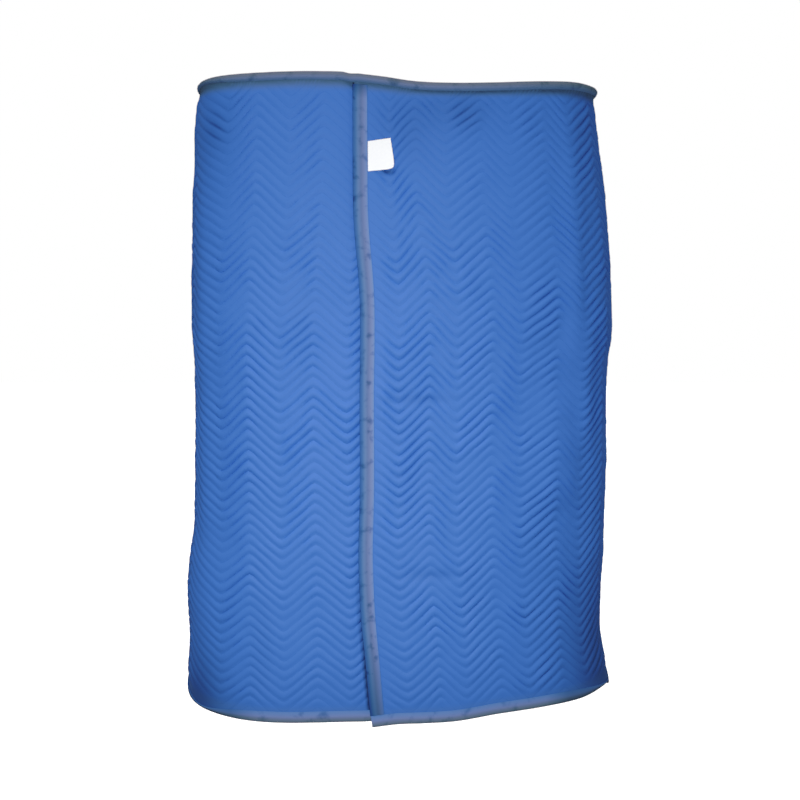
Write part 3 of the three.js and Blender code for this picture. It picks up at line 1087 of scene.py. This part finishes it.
@dataclass
class BindingTape(SewnPiece):
    """Tape folded over one edge of the cloth."""

    drape: Drape
    edge: TapeEdge
    node: str
    slot: str = "tape"
    width: float = 28.0
    thick: float = 1.2
    clearance: float = 0.4
    cloth_thick: float = 4.0
    # Rise of the padding under the tape in humps between its rows of stitching, how flat the humps are, and
    # the tuck of the tape's sewn edge.
    crown: float = 1.6
    humps: int = 2
    hump_power: float = 0.7
    tuck: float = 0.0
    # Puckers of the outer half: their rise, their fine and broad grain, and how wide their start is.
    pucker: float = 0.5
    pucker_grains: tuple[float, float] = (16.0, 45.0)
    pucker_starts_over: float = 6.0
    step: float = 7.0
    leg_steps: int = 8
    fold_steps: int = 6
    inner_leg: float = 26.0
    fold_inside: float = 0.0
    most_bulge: float = 4.0
    # How far the hem's tape reaches past the wrap's ends.
    past_ends: float = 2.0
    # Where the top tape steps over the lap, before the end of its ring, and from how far out it lifts.
    lap_step: tuple[float, float] = (38.0, 13.0)
    lifts_from: float = -2.0
    # How near two points of the ring's ends lie that are joined.
    weld: float = 0.01
    # Where a tape on the flap or the hidden edge ends, below the top tape and above the hem tape.
    below_top: float = 19.0
    above_hem: float = 25.5
    # Where along the edge the tape's outer half is narrow, over how much of its length, and its share there.
    narrow_at: tuple[float, ...] = ()
    narrow_over: float = 90.0
    narrow_share: float = 0.15

    def profile(self) -> np.ndarray:
        """Draw the tape's inner face across its width.

        Returns:
            Rows of the distance in from the edge and the distance out, from outside over the fold to inside.
        """
        outside = self.cloth_thick + self.clearance
        inside = self.fold_inside - self.clearance
        middle, half = (outside + inside) / 2, (outside - inside) / 2
        share = np.linspace(0, 1, self.leg_steps, endpoint=False)
        crown = self.crown * np.abs(np.sin(self.humps * math.pi * share)) ** self.hump_power
        outer = np.column_stack((self.width * (1 - share), outside + crown - self.tuck * (1 - share) ** 2))
        turn = np.linspace(0, math.pi, self.fold_steps + 1)
        bulge = min(half, self.most_bulge)
        fold = np.column_stack((-bulge * np.sin(turn), middle + half * np.cos(turn)))
        inner_share = np.linspace(0, 1, self.leg_steps + 1)[1:]
        inner = np.column_stack((self.inner_leg * inner_share, np.full(self.leg_steps, inside)))
        return np.vstack((outer, fold, inner))

    def run(self) -> tuple[float, float]:
        """Measure the tape's run.

        Returns:
            Where along its edge the tape starts, and how long it is.
        """
        if self.edge is TapeEdge.TOP:
            return 0.0, self.drape.girth
        if self.edge is TapeEdge.HEM:
            return -self.past_ends, self.drape.length + 2 * self.past_ends
        length = self.drape.height - self.below_top - self.above_hem
        return (self.below_top if self.edge is TapeEdge.FLAP else self.above_hem), length

    def place(self, lengthwise: np.ndarray, inwards: np.ndarray, out: np.ndarray) -> np.ndarray:
        """Put points of the tape on the cloth's edge.

        Args:
            lengthwise: Distances along the edge.
            inwards: Distances in from the edge.
            out: Distances out from the cloth's inner face.

        Returns:
            Rows of x, y and z in metres.
        """
        if self.edge is TapeEdge.TOP:
            return self.ring_point(lengthwise, inwards, out)
        if self.edge is TapeEdge.HEM:
            return self.drape.point(lengthwise, self.drape.height - inwards, out)
        if self.edge is TapeEdge.FLAP:
            return self.drape.point(inwards, lengthwise, out)
        return self.drape.point(self.drape.length - inwards, self.drape.height - lengthwise, out)

    def ring_point(self, lengthwise: np.ndarray, inwards: np.ndarray, out: np.ndarray) -> np.ndarray:
        """Put points of the tape on the closed ring of the top seam.

        Args:
            lengthwise: Distances round the ring, against the wrap's length.
            inwards: Drops below the top edge.
            out: Distances out from the wrap's inner face.

        Returns:
            Rows of x, y and z in metres.
        """
        drape = self.drape
        along = drape.girth - lengthwise
        step = smoothstep(along, *(drape.girth - before for before in self.lap_step))
        lift = drape.lift(along) * (1 - step) + drape.lap_lift * step
        distance = out + smoothstep(out, self.lifts_from, self.cloth_thick) * lift
        top = drape.edge(along, "top") * (1 - step) + drape.edge(np.zeros_like(along), "top") * step
        return drape.stand_off(drape.angle_at(along), inwards, distance, top - inwards)

    def flat_strip(self, across: np.ndarray, length: float) -> bmesh.types.BMesh:
        """Cut the flat strip.

        Args:
            across: Places of the strip's points across its width.
            length: Length of the strip.

        Returns:
            A bmesh in millimetres, closed but for the ends of a ring.
        """
        rows = len(across) - 1
        strip = flat_grid(round(length / self.step), rows, length, rows)
        for vert in strip.verts:
            vert.co.y = -across[round(-vert.co.y)]
        thicken(strip, self.thick)
        if self.edge is TapeEdge.TOP:
            strip.normal_update()
            ends = [face for face in strip.faces if abs(face.normal.x) > 0.5]
            bmesh.ops.delete(strip, geom=ends, context="FACES_ONLY")
        return strip

    def build(self) -> bpy.types.Object:
        """Fold the tape over its edge.

        Returns:
            The tape, with a map of its length and width in metres, and a map of its length and the share
            of the way from its sewn edge to its fold.
        """
        profile = self.profile()
        spans = np.hypot(*np.diff(profile, axis=0).T)
        across = np.concatenate(([0.0], np.cumsum(spans)))
        slope = np.gradient(profile, across, axis=0)
        normal = np.column_stack((slope[:, 1], -slope[:, 0]))
        normal /= np.hypot(*normal.T)[:, None]
        start, length = self.run()
        piece = new_piece(f"{self.edge.value}_binding_tape", self.flat_strip(across, length))
        flat = places_of(piece)
        lengthwise, crosswise = start + flat[:, 0], -flat[:, 1]
        columns = [np.interp(crosswise, across, values) for values in (*profile.T, *normal.T)]
        inwards, out, normal_in, normal_out = columns
        share = crosswise / self.width
        puckered = np.clip(1 - share, 0, 1) * np.clip(crosswise / self.pucker_starts_over, 0, 1)
        fields = zip(self.pucker_grains, (Unevenness.FINE_PUCKERS, Unevenness.BROAD_PUCKERS))
        puckers = sum(soft_noise(lengthwise, crosswise, grain, which) for grain, which in fields)
        lifted = flat[:, 2] + self.pucker * puckers * puckered
        narrow = sum(bell(lengthwise, at, self.narrow_over) for at in self.narrow_at)
        inwards = inwards * np.where(crosswise < self.width, 1 - (1 - self.narrow_share) * narrow, 1.0)
        places = self.place(lengthwise, inwards + normal_in * lifted, out + normal_out * lifted)
        shape_piece(piece, places)
        write_uv(piece, "tape", lengthwise * MM, crosswise * MM)
        write_uv(piece, "fold", lengthwise * MM, share)
        if self.edge is TapeEdge.TOP:
            self.close_ring(piece)
        return piece

    def close_ring(self, piece: bpy.types.Object) -> None:
        """Join the two ends of the ring.

        Args:
            piece: The tape, whose ends meet.
        """
        ring = bmesh.new()
        ring.from_mesh(piece.data)
        bmesh.ops.remove_doubles(ring, verts=ring.verts, dist=self.weld * MM)
        ring.to_mesh(piece.data)
        ring.free()


@dataclass
class TopPanel(SewnPiece):
    """The quilted sheet that closes the top, its rim turned up inside the top seam."""

    drape: Drape
    quilting: Quilting
    node: str = "top_panel"
    slot: str = "pad_cloth"
    thick: float = 4.0
    inset: float = 9.0
    columns: int = 96
    sides: int = 96
    rim_steps: int = 4
    rim_bend: float = 10.0

    def outline(self) -> np.ndarray:
        """Walk round the panel's flat part.

        Returns:
            Rows of x and y in millimetres.
        """
        angle = self.drape.angle_at(np.linspace(0, self.drape.girth, self.sides, endpoint=False))
        radius = self.drape.radius(angle, TOP_SECTION) - self.inset - self.rim_bend
        return np.column_stack((radius * np.cos(angle), radius * np.sin(angle)))

    def flat_cloth(self) -> bmesh.types.BMesh:
        """Cut the quilted sheet to the outline.

        Returns:
            A flat bmesh in millimetres, one face thick, its ridges raised.
        """
        quilting = self.quilting
        steps = len(quilting.shares)
        reach = TOP_SECTION
        width, depth = reach.left + reach.right, 2 * (reach.depth + quilting.fall)
        ridges = math.ceil(depth / quilting.pitch)
        cloth = flat_grid(self.columns, ridges * steps, width, ridges * steps)
        falls = quilting.fall_at(np.array([vert.co.x for vert in cloth.verts]))
        for vert, fall in zip(cloth.verts, falls):
            row = round(-vert.co.y)
            rise = quilting.puff * quilting.rises[row % steps]
            back = depth / 2 - quilting.drop_of(row) - fall + quilting.fall / 2
            vert.co = Vector((vert.co.x - reach.left, back, rise))
        edge = self.outline()
        for corner, after in zip(edge, np.roll(edge, -1, axis=0)):
            side = after - corner
            cut_off(cloth, corner, (side[1], -side[0]))
        return cloth

    def build(self) -> bpy.types.Object:
        """Turn up the rim and give the sheet its thickness.

        Returns:
            The panel, with a map of its quilting in metres and rows.
        """
        cloth = self.flat_cloth()
        for turn in np.linspace(0, math.pi / 2, self.rim_steps + 1)[1:]:
            self.turn_up(cloth, turn)
        self.turn_up(cloth, None)
        bmesh.ops.recalc_face_normals(cloth, faces=cloth.faces)
        if sum(face.normal.z for face in cloth.faces) < 0:
            bmesh.ops.reverse_faces(cloth, faces=cloth.faces)
        bmesh.ops.solidify(cloth, geom=cloth.faces[:], thickness=self.thick)
        piece = new_piece("top_panel_pad_cloth", cloth)
        places = places_of(piece)
        places[:, 2] -= places[:, 2].min()
        along, down = places[:, 0], -places[:, 1]
        shape_piece(piece, places * MM)
        write_uv(piece, "cloth", along * MM, down * MM)
        write_uv(piece, "quilting", along * MM, self.quilting.row_at(along, down))
        for clean in ("soil", "pinch"):
            write_uv(piece, clean, np.zeros_like(along), np.zeros_like(along))
        return piece

    def turn_up(self, cloth: bmesh.types.BMesh, turn: float | None) -> None:
        """Extrude the sheet's edge one step round the bend, or up to the wrap's top edge.

        Args:
            cloth: Sheet whose open edge is extruded.
            turn: Turn of the bend so far in radians, or None for the last step, straight up.
        """
        rim = [edge for edge in cloth.edges if edge.is_boundary]
        made = bmesh.ops.extrude_edge_only(cloth, edges=rim)
        verts = [part for part in made["geom"] if isinstance(part, bmesh.types.BMVert)]
        places = np.array([vert.co for vert in verts])
        angle = np.arctan2(places[:, 1], places[:, 0])
        reach = self.drape.radius(angle, TOP_SECTION) - self.inset
        start = self.drape.angles[0]
        along = np.interp((angle - start) % (2 * math.pi), self.drape.angles - start, self.drape.lengths)
        for vert, out, run in zip(verts, reach, along):
            direction = Vector((vert.co.x, vert.co.y, 0)).normalized()
            if turn is None:
                vert.co.z = float(self.drape.edge(np.array([run]), "top")[0]) - self.thick
                continue
            vert.co = direction * (out - self.rim_bend * (1 - math.sin(turn)))
            vert.co.z = self.rim_bend * (1 - math.cos(turn))


@dataclass
class CareLabel(SewnPiece):
    """A bare white label, sewn in beside the flap's tape with its free corner curling out."""

    drape: Drape
    node: str = "care_label"
    slot: str = "label"
    start: float = 31.5
    drop: float = 138.0
    width: float = 60.5
    height: float = 68.5
    # How far the free side leans out, how much higher it starts and how much longer it is.
    slant: float = 10.0
    tilt: float = 9.0
    flare: float = 3.5
    corner_round: float = 4.0
    corner_power: float = 8.0
    curl: float = 9.0
    thick: float = 0.6
    base: float = 4.4
    puff: float = 2.4
    steps: int = 14

    def build(self) -> bpy.types.Object:
        """Hang the label.

        Returns:
            The label, with a map of its width and height in metres.
        """
        cloth = flat_grid(self.steps, self.steps, 1.0, 1.0)
        thicken(cloth, self.thick)
        piece = new_piece("label_white_cloth", cloth)
        flat = places_of(piece)
        share, down = flat[:, 0], -flat[:, 1]
        corner = self.corner_round * (share * down) ** self.corner_power
        along = self.start + share * (self.width - self.slant * (1 - down)) - corner
        drop = self.drop + self.tilt * (1 - share) + down * (self.height + self.flare * share) - corner
        stand = self.base + self.puff * np.minimum(1, 2 * share) + self.curl * (share * down) ** 2
        shape_piece(piece, self.drape.point(along, drop, stand + flat[:, 2]))
        write_uv(piece, "label", share * self.width * MM, down * self.height * MM)
        return piece


def linear(hex_colour: str) -> tuple[float, float, float, float]:
    """Turn an sRGB colour into a linear one.

    Args:
        hex_colour: The colour's six hex digits after a hash sign.

    Returns:
        Linear red, green and blue, and an alpha of 1.
    """
    channels = [int(hex_colour[i : i + 2], 16) / 255 for i in (1, 3, 5)]
    red, green, blue = (c / 12.92 if c <= 0.04045 else ((c + 0.055) / 1.055) ** 2.4 for c in channels)
    return red, green, blue, 1.0


def add_node(
    tree: bpy.types.NodeTree, kind: str, inputs: dict[str | int, Any] | None = None, **settings: Any
) -> bpy.types.Node:
    """Add a shader node to a tree.

    Args:
        tree: Tree that gets the node.
        kind: Blender's name of the kind of node, after the words ShaderNode.
        inputs: Value, or socket to link, for each input by name or number.
        settings: Properties of the node.

    Returns:
        The new node.
    """
    node = tree.nodes.new(f"ShaderNode{kind}")
    for name, value in settings.items():
        setattr(node, name, value)
    for name, value in (inputs or {}).items():
        if isinstance(value, bpy.types.NodeSocket):
            tree.links.new(value, node.inputs[name])
        else:
            node.inputs[name].default_value = value
    return node


def new_material(name: str) -> tuple[bpy.types.Material, bpy.types.NodeTree]:
    """Start an empty node material.

    Args:
        name: Name of the real material.

    Returns:
        The material and its node tree.
    """
    material = bpy.data.materials.new(name)
    material.use_nodes = True
    material.node_tree.nodes.clear()
    return material, material.node_tree


def map_values(tree: bpy.types.NodeTree, name: str) -> tuple[bpy.types.NodeSocket, bpy.types.NodeSocket]:
    """Read the two values that a UV map holds.

    Args:
        tree: Node tree of the finish.
        name: Name of the map.

    Returns:
        Sockets of the first and the second value.
    """
    pair = add_node(tree, "UVMap", uv_map=name).outputs["UV"]
    values = add_node(tree, "SeparateXYZ", {"Vector": pair}).outputs
    return values["X"], values["Y"]


def lay_tints(
    tree: bpy.types.NodeTree, base: str, layers: Sequence[tuple[bpy.types.NodeSocket, str]]
) -> bpy.types.NodeSocket:
    """Lay tints over a colour, one after the other.

    Args:
        tree: Node tree of the finish.
        base: Colour that they are laid over.
        layers: Socket of each tint's share, and the tint.

    Returns:
        Socket of the mixed colour.
    """
    colour: Any = linear(base)
    for share, tint in layers:
        inputs = {"Factor": share, MIX_A: colour, MIX_B: linear(tint)}
        colour = add_node(tree, "Mix", inputs, data_type="RGBA").outputs[MIX_RESULT]
    return colour


@dataclass(frozen=True)
class ClothSurface:
    """How a cloth takes the light, and the strength and depth of its fine relief."""

    roughness: float
    shine: float
    relief: float
    relief_mm: float
    refraction: float = 1.5

    def finish(
        self, tree: bpy.types.NodeTree, colour: bpy.types.NodeSocket, height: bpy.types.NodeSocket
    ) -> None:
        """End a finish's nodes with its shader.

        Args:
            tree: Node tree of the finish.
            colour: Socket of the colour.
            height: Socket of the relief.
        """
        relief = {"Height": height, "Strength": self.relief, "Distance": self.relief_mm * MM}
        bump = add_node(tree, "Bump", relief)
        look = {
            "Base Color": colour,
            "Normal": bump.outputs["Normal"],
            "Roughness": self.roughness,
            "IOR": self.refraction,
            "Specular IOR Level": self.shine,
        }
        shader = add_node(tree, "BsdfPrincipled", look)
        add_node(tree, "OutputMaterial", {"Surface": shader.outputs["BSDF"]})


@dataclass(frozen=True)
class PadCloth:
    """Blue woven polyester over filling: matt, a little furry, paler in worn patches."""

    blue: str = "#456bbf"
    worn_blue: str = "#496fc5"
    thread_blue: str = "#3e63b4"
    dust_grey: str = "#536889"
    shade_navy: str = "#22355a"
    deep_row_shade_navy: str = "#2e4a8a"
    surface: ClothSurface = ClothSurface(roughness=0.65, shine=0.17, relief=0.25, relief_mm=0.6)
    # Threads of 0.5 mm are too fine to show, so the weave is drawn at 4 mm.
    weave_mm: float = 4.0
    mottle_mm: float = 90.0
    # Stitches of 4 mm are drawn twice as long, so that they show.
    stitch_mm: float = 8.0
    # Shares of a stitch over which its thread comes up out of the cloth, and how much of it shows there.
    thread_over: tuple[float, float] = (0.15, 0.5)
    thread_shows: tuple[float, float] = (0.35, 0.8)
    # How far from a row of stitching its thread shows, and how far the painted shade of a row that is drawn
    # in deep reaches, in rows.
    thread_rows: float = 0.06
    deep_shade_rows: float = 0.28

    def make(self) -> bpy.types.Material:
        """Make the cloth from its maps.

        Returns:
            The material.
        """
        material, tree = new_material("woven_polyester_pad_cloth_painted_shade")
        cloth = add_node(tree, "UVMap", uv_map="cloth").outputs["UV"]
        along, row = map_values(tree, "quilting")
        dust, painted_shade = map_values(tree, "soil")
        pinch, nook = map_values(tree, "pinch")
        mottle, weave = (
            add_node(
                tree, "TexNoise", {"Vector": cloth, "Scale": 1 / (grain * MM), "Detail": detail}
            ).outputs["Fac"]
            for grain, detail in ((self.mottle_mm, 4.0), (self.weave_mm, 2.0))
        )
        apart = add_node(tree, "Math", {0: row, 1: 0.5}, operation="PINGPONG").outputs[0]
        seam, hollow = (
            add_node(
                tree,
                "MapRange",
                {"Value": apart, "From Max": reach, "To Min": 1.0, "To Max": 0.0},
                interpolation_type="SMOOTHSTEP",
            ).outputs["Result"]
            for reach in (self.thread_rows, self.deep_shade_rows)
        )
        stitch = self.stitch_mm * MM
        beat = add_node(tree, "Math", {0: along, 1: stitch}, operation="PINGPONG").outputs[0]
        under, over = (share * stitch for share in self.thread_over)
        least, most = self.thread_shows
        shown = {"Value": beat, "From Min": under, "From Max": over, "To Min": least, "To Max": most}
        dash = add_node(tree, "MapRange", shown).outputs["Result"]
        thread = add_node(tree, "Math", {0: seam, 1: dash}, operation="MULTIPLY").outputs[0]
        # Painted shade along the rows that are drawn in deep.
        deep = add_node(tree, "Math", {0: hollow, 1: pinch}, operation="MULTIPLY").outputs[0]
        # The painted shade of the patches, the top seam's crease and the hem, with the painted shadow in the
        # nook.
        shade_share = add_node(tree, "Math", {0: painted_shade, 1: nook}, operation="MAXIMUM").outputs[0]
        layers = (
            (mottle, self.worn_blue),
            (thread, self.thread_blue),
            (dust, self.dust_grey),
            (shade_share, self.shade_navy),
            (deep, self.deep_row_shade_navy),
        )
        self.surface.finish(tree, lay_tints(tree, self.blue, layers), weave)
        return material


@dataclass(frozen=True)
class GreyTape:
    """Grey blue woven polypropylene tape: ribbed and matt, tinted across its width with painted shade,
    smudged, and darker over some stretches.
    """

    name: str
    tints: tuple[TapeTintAndShade, ...]
    smudge_grey: str = "#c6ccd8"
    smudge_mm: float = 30.0
    # The noise's values at which a smudge starts and is full.
    smudge_over: tuple[float, float] = (0.5, 0.76)
    dark_stretches: tuple[DarkStretch, ...] = ()
    # Ribs of 1 mm are drawn at 3 mm, so that they show.
    rib_mm: float = 3.0
    rib_sway: float = 1.0
    surface: ClothSurface = ClothSurface(roughness=0.8, shine=0.2, relief=0.2, relief_mm=0.5, refraction=1.49)

    def make(self) -> bpy.types.Material:
        """Make the tape from its maps of length and width.

        Returns:
            The material.
        """
        material, tree = new_material(self.name)
        tape = add_node(tree, "UVMap", uv_map="tape").outputs["UV"]
        along, across = map_values(tree, "fold")
        smudge = {"Vector": tape, "Scale": 1 / (self.smudge_mm * MM), "Detail": 3.0}
        smudges = add_node(tree, "TexNoise", smudge).outputs["Fac"]
        starts, full = self.smudge_over
        tone = add_node(
            tree,
            "MapRange",
            {"Value": smudges, "From Min": starts, "From Max": full},
            interpolation_type="SMOOTHSTEP",
        ).outputs["Result"]
        # Painted shadow and darker stretches along the tape's length.
        for stretch in self.dark_stretches:
            middle, within, past = (length * MM for length in stretch)
            offset = add_node(tree, "Math", {0: along, 1: middle}, operation="SUBTRACT").outputs[0]
            away = add_node(tree, "Math", {0: offset}, operation="ABSOLUTE").outputs[0]
            reach = {"Value": away, "From Min": past, "From Max": within}
            soil = add_node(tree, "MapRange", reach).outputs["Result"]
            tone = add_node(tree, "Math", {0: tone, 1: soil}, operation="MAXIMUM").outputs[0]
        ramp = add_node(tree, "ValToRGB", {"Fac": across})
        stops = ramp.color_ramp.elements
        for tint in self.tints[1:-1]:
            stops.new(tint.share)
        for stop, tint in zip(stops, self.tints):
            stop.color = linear(tint.colour)
        worn = {"Factor": tone, MIX_A: ramp.outputs["Color"], MIX_B: linear(self.smudge_grey)}
        colour = add_node(tree, "Mix", worn, data_type="RGBA", blend_type="MULTIPLY").outputs[MIX_RESULT]
        rib = {"Vector": tape, "Scale": WAVE_SCALE / (self.rib_mm * MM), "Distortion": self.rib_sway}
        ribs = add_node(tree, "TexWave", rib, bands_direction="Y").outputs["Fac"]
        self.surface.finish(tree, colour, ribs)
        return material


@dataclass(frozen=True)
class LabelCloth:
    """White non-woven label cloth: smooth, matt and a little fibrous."""

    white: str = "#fafbfc"
    shade: str = "#f2f4f8"
    fibre_mm: float = 5.0
    surface: ClothSurface = ClothSurface(roughness=0.7, shine=0.5, relief=0.1, relief_mm=0.3)

    def make(self) -> bpy.types.Material:
        """Make the label cloth from its map of width and height.

        Returns:
            The material.
        """
        material, tree = new_material("non_woven_label_cloth")
        label = add_node(tree, "UVMap", uv_map="label").outputs["UV"]
        fibre = {"Vector": label, "Scale": 1 / (self.fibre_mm * MM), "Detail": 3.0}
        fibres = add_node(tree, "TexNoise", fibre).outputs["Fac"]
        self.surface.finish(tree, lay_tints(tree, self.shade, [(fibres, self.white)]), fibres)
        return material


class LightKind(Enum):
    """The studio's kinds of light: a square soft one, and a far one."""

    SOFT = "AREA"
    FAR = "SUN"


class StudioLight(NamedTuple):
    """A light that faces the cover.

    The size is a soft light's side in metres or a far light's angle across in radians, and the strength is in
    watts, or in watts a square metre.
    """

    name: str
    kind: LightKind
    place: tuple[float, float, float]
    size: float
    strength: float


@dataclass
class Studio:
    """Pale floor, soft lights and the camera."""

    camera_place: tuple[float, float, float] = (0.0, -3.51747, -0.37351)
    camera_tilt: float = 84.0
    lens: float = 61.407
    sensor: float = 36.0
    floor_drop: float = 0.6
    floor_size: float = 30.0
    floor_white: str = "#f2f2f2"
    floor_roughness: float = 0.9
    floor_glow: float = 0.85
    ambient: float = 0.24
    aim: tuple[float, float, float] = (0.0, 0.0, -0.72)
    # The far light slants across the front from the upper left, which brings out the quilting.
    lights: tuple[StudioLight, ...] = (
        StudioLight("key_light", LightKind.SOFT, (-0.2, -1.8, -0.68), 0.5, 15.0),
        StudioLight("side_light", LightKind.SOFT, (2.2, -1.2, -0.75), 0.8, 5.5),
        StudioLight("slanting_light", LightKind.FAR, (-0.35, -1.0, 0.78), 0.5, 1.33),
        StudioLight("back_light", LightKind.SOFT, (0.0, 3.0, -0.2), 1.2, 30.0),
    )
    # A photograph's contrast: deep shade, and about even steps of brightness between it and white.
    green_tones: tuple[Tone, ...] = table(
        Tone,
        (0.05, 0.057),
        (0.09, 0.101),
        (0.18, 0.173),
        (0.4, 0.39),
    )
    tones: tuple[Tone, ...] = table(
        Tone,
        (0.05, 0.038),
        (0.1, 0.1035),
        (0.18, 0.214),
        (0.3, 0.355),
        (0.45, 0.482),
        (0.62, 0.59),
    )

    def add_camera(self) -> None:
        """Set the camera in front of the cover, a little above its middle."""
        data = bpy.data.cameras.new("front_camera")
        data.lens = self.lens
        data.sensor_width = self.sensor
        camera = bpy.data.objects.new("front_camera", data)
        camera.location = self.camera_place
        camera.rotation_euler = (math.radians(self.camera_tilt), 0, 0)
        bpy.context.scene.collection.objects.link(camera)
        bpy.context.scene.camera = camera

    def add_light(self, light: StudioLight) -> None:
        """Hang a light and turn it to the cover.

        Args:
            light: The light's kind, place, size and strength.
        """
        data = bpy.data.lights.new(light.name, light.kind.value)
        data.energy = light.strength
        lamp = bpy.data.objects.new(light.name, data)
        lamp.location = light.place
        lamp.rotation_euler = (Vector(self.aim) - Vector(light.place)).to_track_quat("-Z", "Y").to_euler()
        if light.kind is LightKind.SOFT:
            data.shape = "SQUARE"
            data.size = light.size
            lamp.visible_camera = False
        else:
            data.angle = light.size
        bpy.context.scene.collection.objects.link(lamp)

    def add_world(self) -> None:
        """Surround the cover with soft white light that shows as a white backdrop."""
        world = bpy.data.worlds.new("white_studio")
        world.use_nodes = True
        tree = world.node_tree
        tree.nodes.clear()
        seen = add_node(tree, "LightPath").outputs["Is Camera Ray"]
        shown = {"Value": seen, "To Min": self.ambient, "To Max": 1.0}
        strength = add_node(tree, "MapRange", shown).outputs["Result"]
        sky = add_node(tree, "Background", {"Color": (1, 1, 1, 1), "Strength": strength})
        add_node(tree, "OutputWorld", {"Surface": sky.outputs["Background"]})
        bpy.context.scene.world = world

    def add_floor(self) -> None:
        """Lay a plain white floor well below the hem."""
        sheet = flat_grid(1, 1, self.floor_size, self.floor_size)
        level = CAD_BOX[0][2] - self.floor_drop
        half = self.floor_size / 2
        bmesh.ops.translate(sheet, vec=(-half, half, level), verts=sheet.verts)
        floor = new_piece("studio_floor", sheet)
        material, tree = new_material("white_studio_paper")
        look = {
            "Base Color": linear(self.floor_white),
            "Roughness": self.floor_roughness,
            "Emission Color": (1, 1, 1, 1),
            "Emission Strength": self.floor_glow,
        }
        shader = add_node(tree, "BsdfPrincipled", look)
        add_node(tree, "OutputMaterial", {"Surface": shader.outputs["BSDF"]})
        floor.data.materials.append(material)
        floor.visible_diffuse = False
        floor.visible_glossy = False

    def set_tones(self) -> None:
        """Show the scene's light with a photograph's contrast."""
        view = bpy.context.scene.view_settings
        view.view_transform = "Standard"
        view.use_curve_mapping = True
        for curve, tones in ((GREEN_CURVE, self.green_tones), (ALL_CURVE, self.tones)):
            for tone in tones:
                view.curve_mapping.curves[curve].points.new(tone.lit, tone.shown)
        view.curve_mapping.update()

    def build(self) -> None:
        """Set up the whole studio."""
        self.set_tones()
        self.add_camera()
        self.add_world()
        self.add_floor()
        for light in self.lights:
            self.add_light(light)


def main() -> None:
    """Build the studio and the cover, and dress the cover."""
    logging.basicConfig(level=logging.INFO, format="%(message)s")
    Studio().build()
    drape, quilting = Drape(), Quilting()
    pad_cloth = PadCloth().make()
    # Each tape's finish has painted shade of its own across its width, so the top and the hem tapes are
    # shaded copies of one tape.
    end_tape_shaded = GreyTape(
        "woven_polypropylene_tape_painted_shade", FLAP_TINTS_AND_SHADE, smudge_grey="#b8c0ce", smudge_mm=22.0, dark_stretches=FLAP_SHADOW_AND_DARK_END
    ).make()
    top_tape_shaded = GreyTape("woven_polypropylene_top_tape_painted_shade", TOP_TINTS_AND_SHADE).make()
    hem_tape_shaded = GreyTape("woven_polypropylene_hem_tape_painted_shade", HEM_TINTS_AND_SHADE, dark_stretches=HEM_DARK_STRETCH).make()

    wrap = QuiltedWrap(drape, quilting).dressed(pad_cloth)
    panel = TopPanel(drape, quilting).dressed(pad_cloth)
    top_tape = BindingTape(
        drape,
        TapeEdge.TOP,
        "top_binding",
        width=13.5,
        crown=3.0,
        humps=1,
        tuck=2.2,
        inner_leg=9.0,
        fold_inside=-14.0,
        narrow_at=(420.0,),
        narrow_share=0.5,
    ).dressed(top_tape_shaded)
    hem_tape = BindingTape(
        drape, TapeEdge.HEM, "hem_binding", width=25.0, crown=1.0, humps=1, narrow_at=(672.0, 2458.0)
    ).dressed(hem_tape_shaded)
    flap_tape = BindingTape(drape, TapeEdge.FLAP, "flap_binding", width=30.5, crown=1.0).dressed(end_tape_shaded)
    hidden_tape = BindingTape(
        drape, TapeEdge.HIDDEN, "inner_flap_binding", crown=0.0, pucker=0.0
    ).dressed(end_tape_shaded)
    label = CareLabel(drape).dressed(LabelCloth().make())


if __name__ == "__main__":
    main()
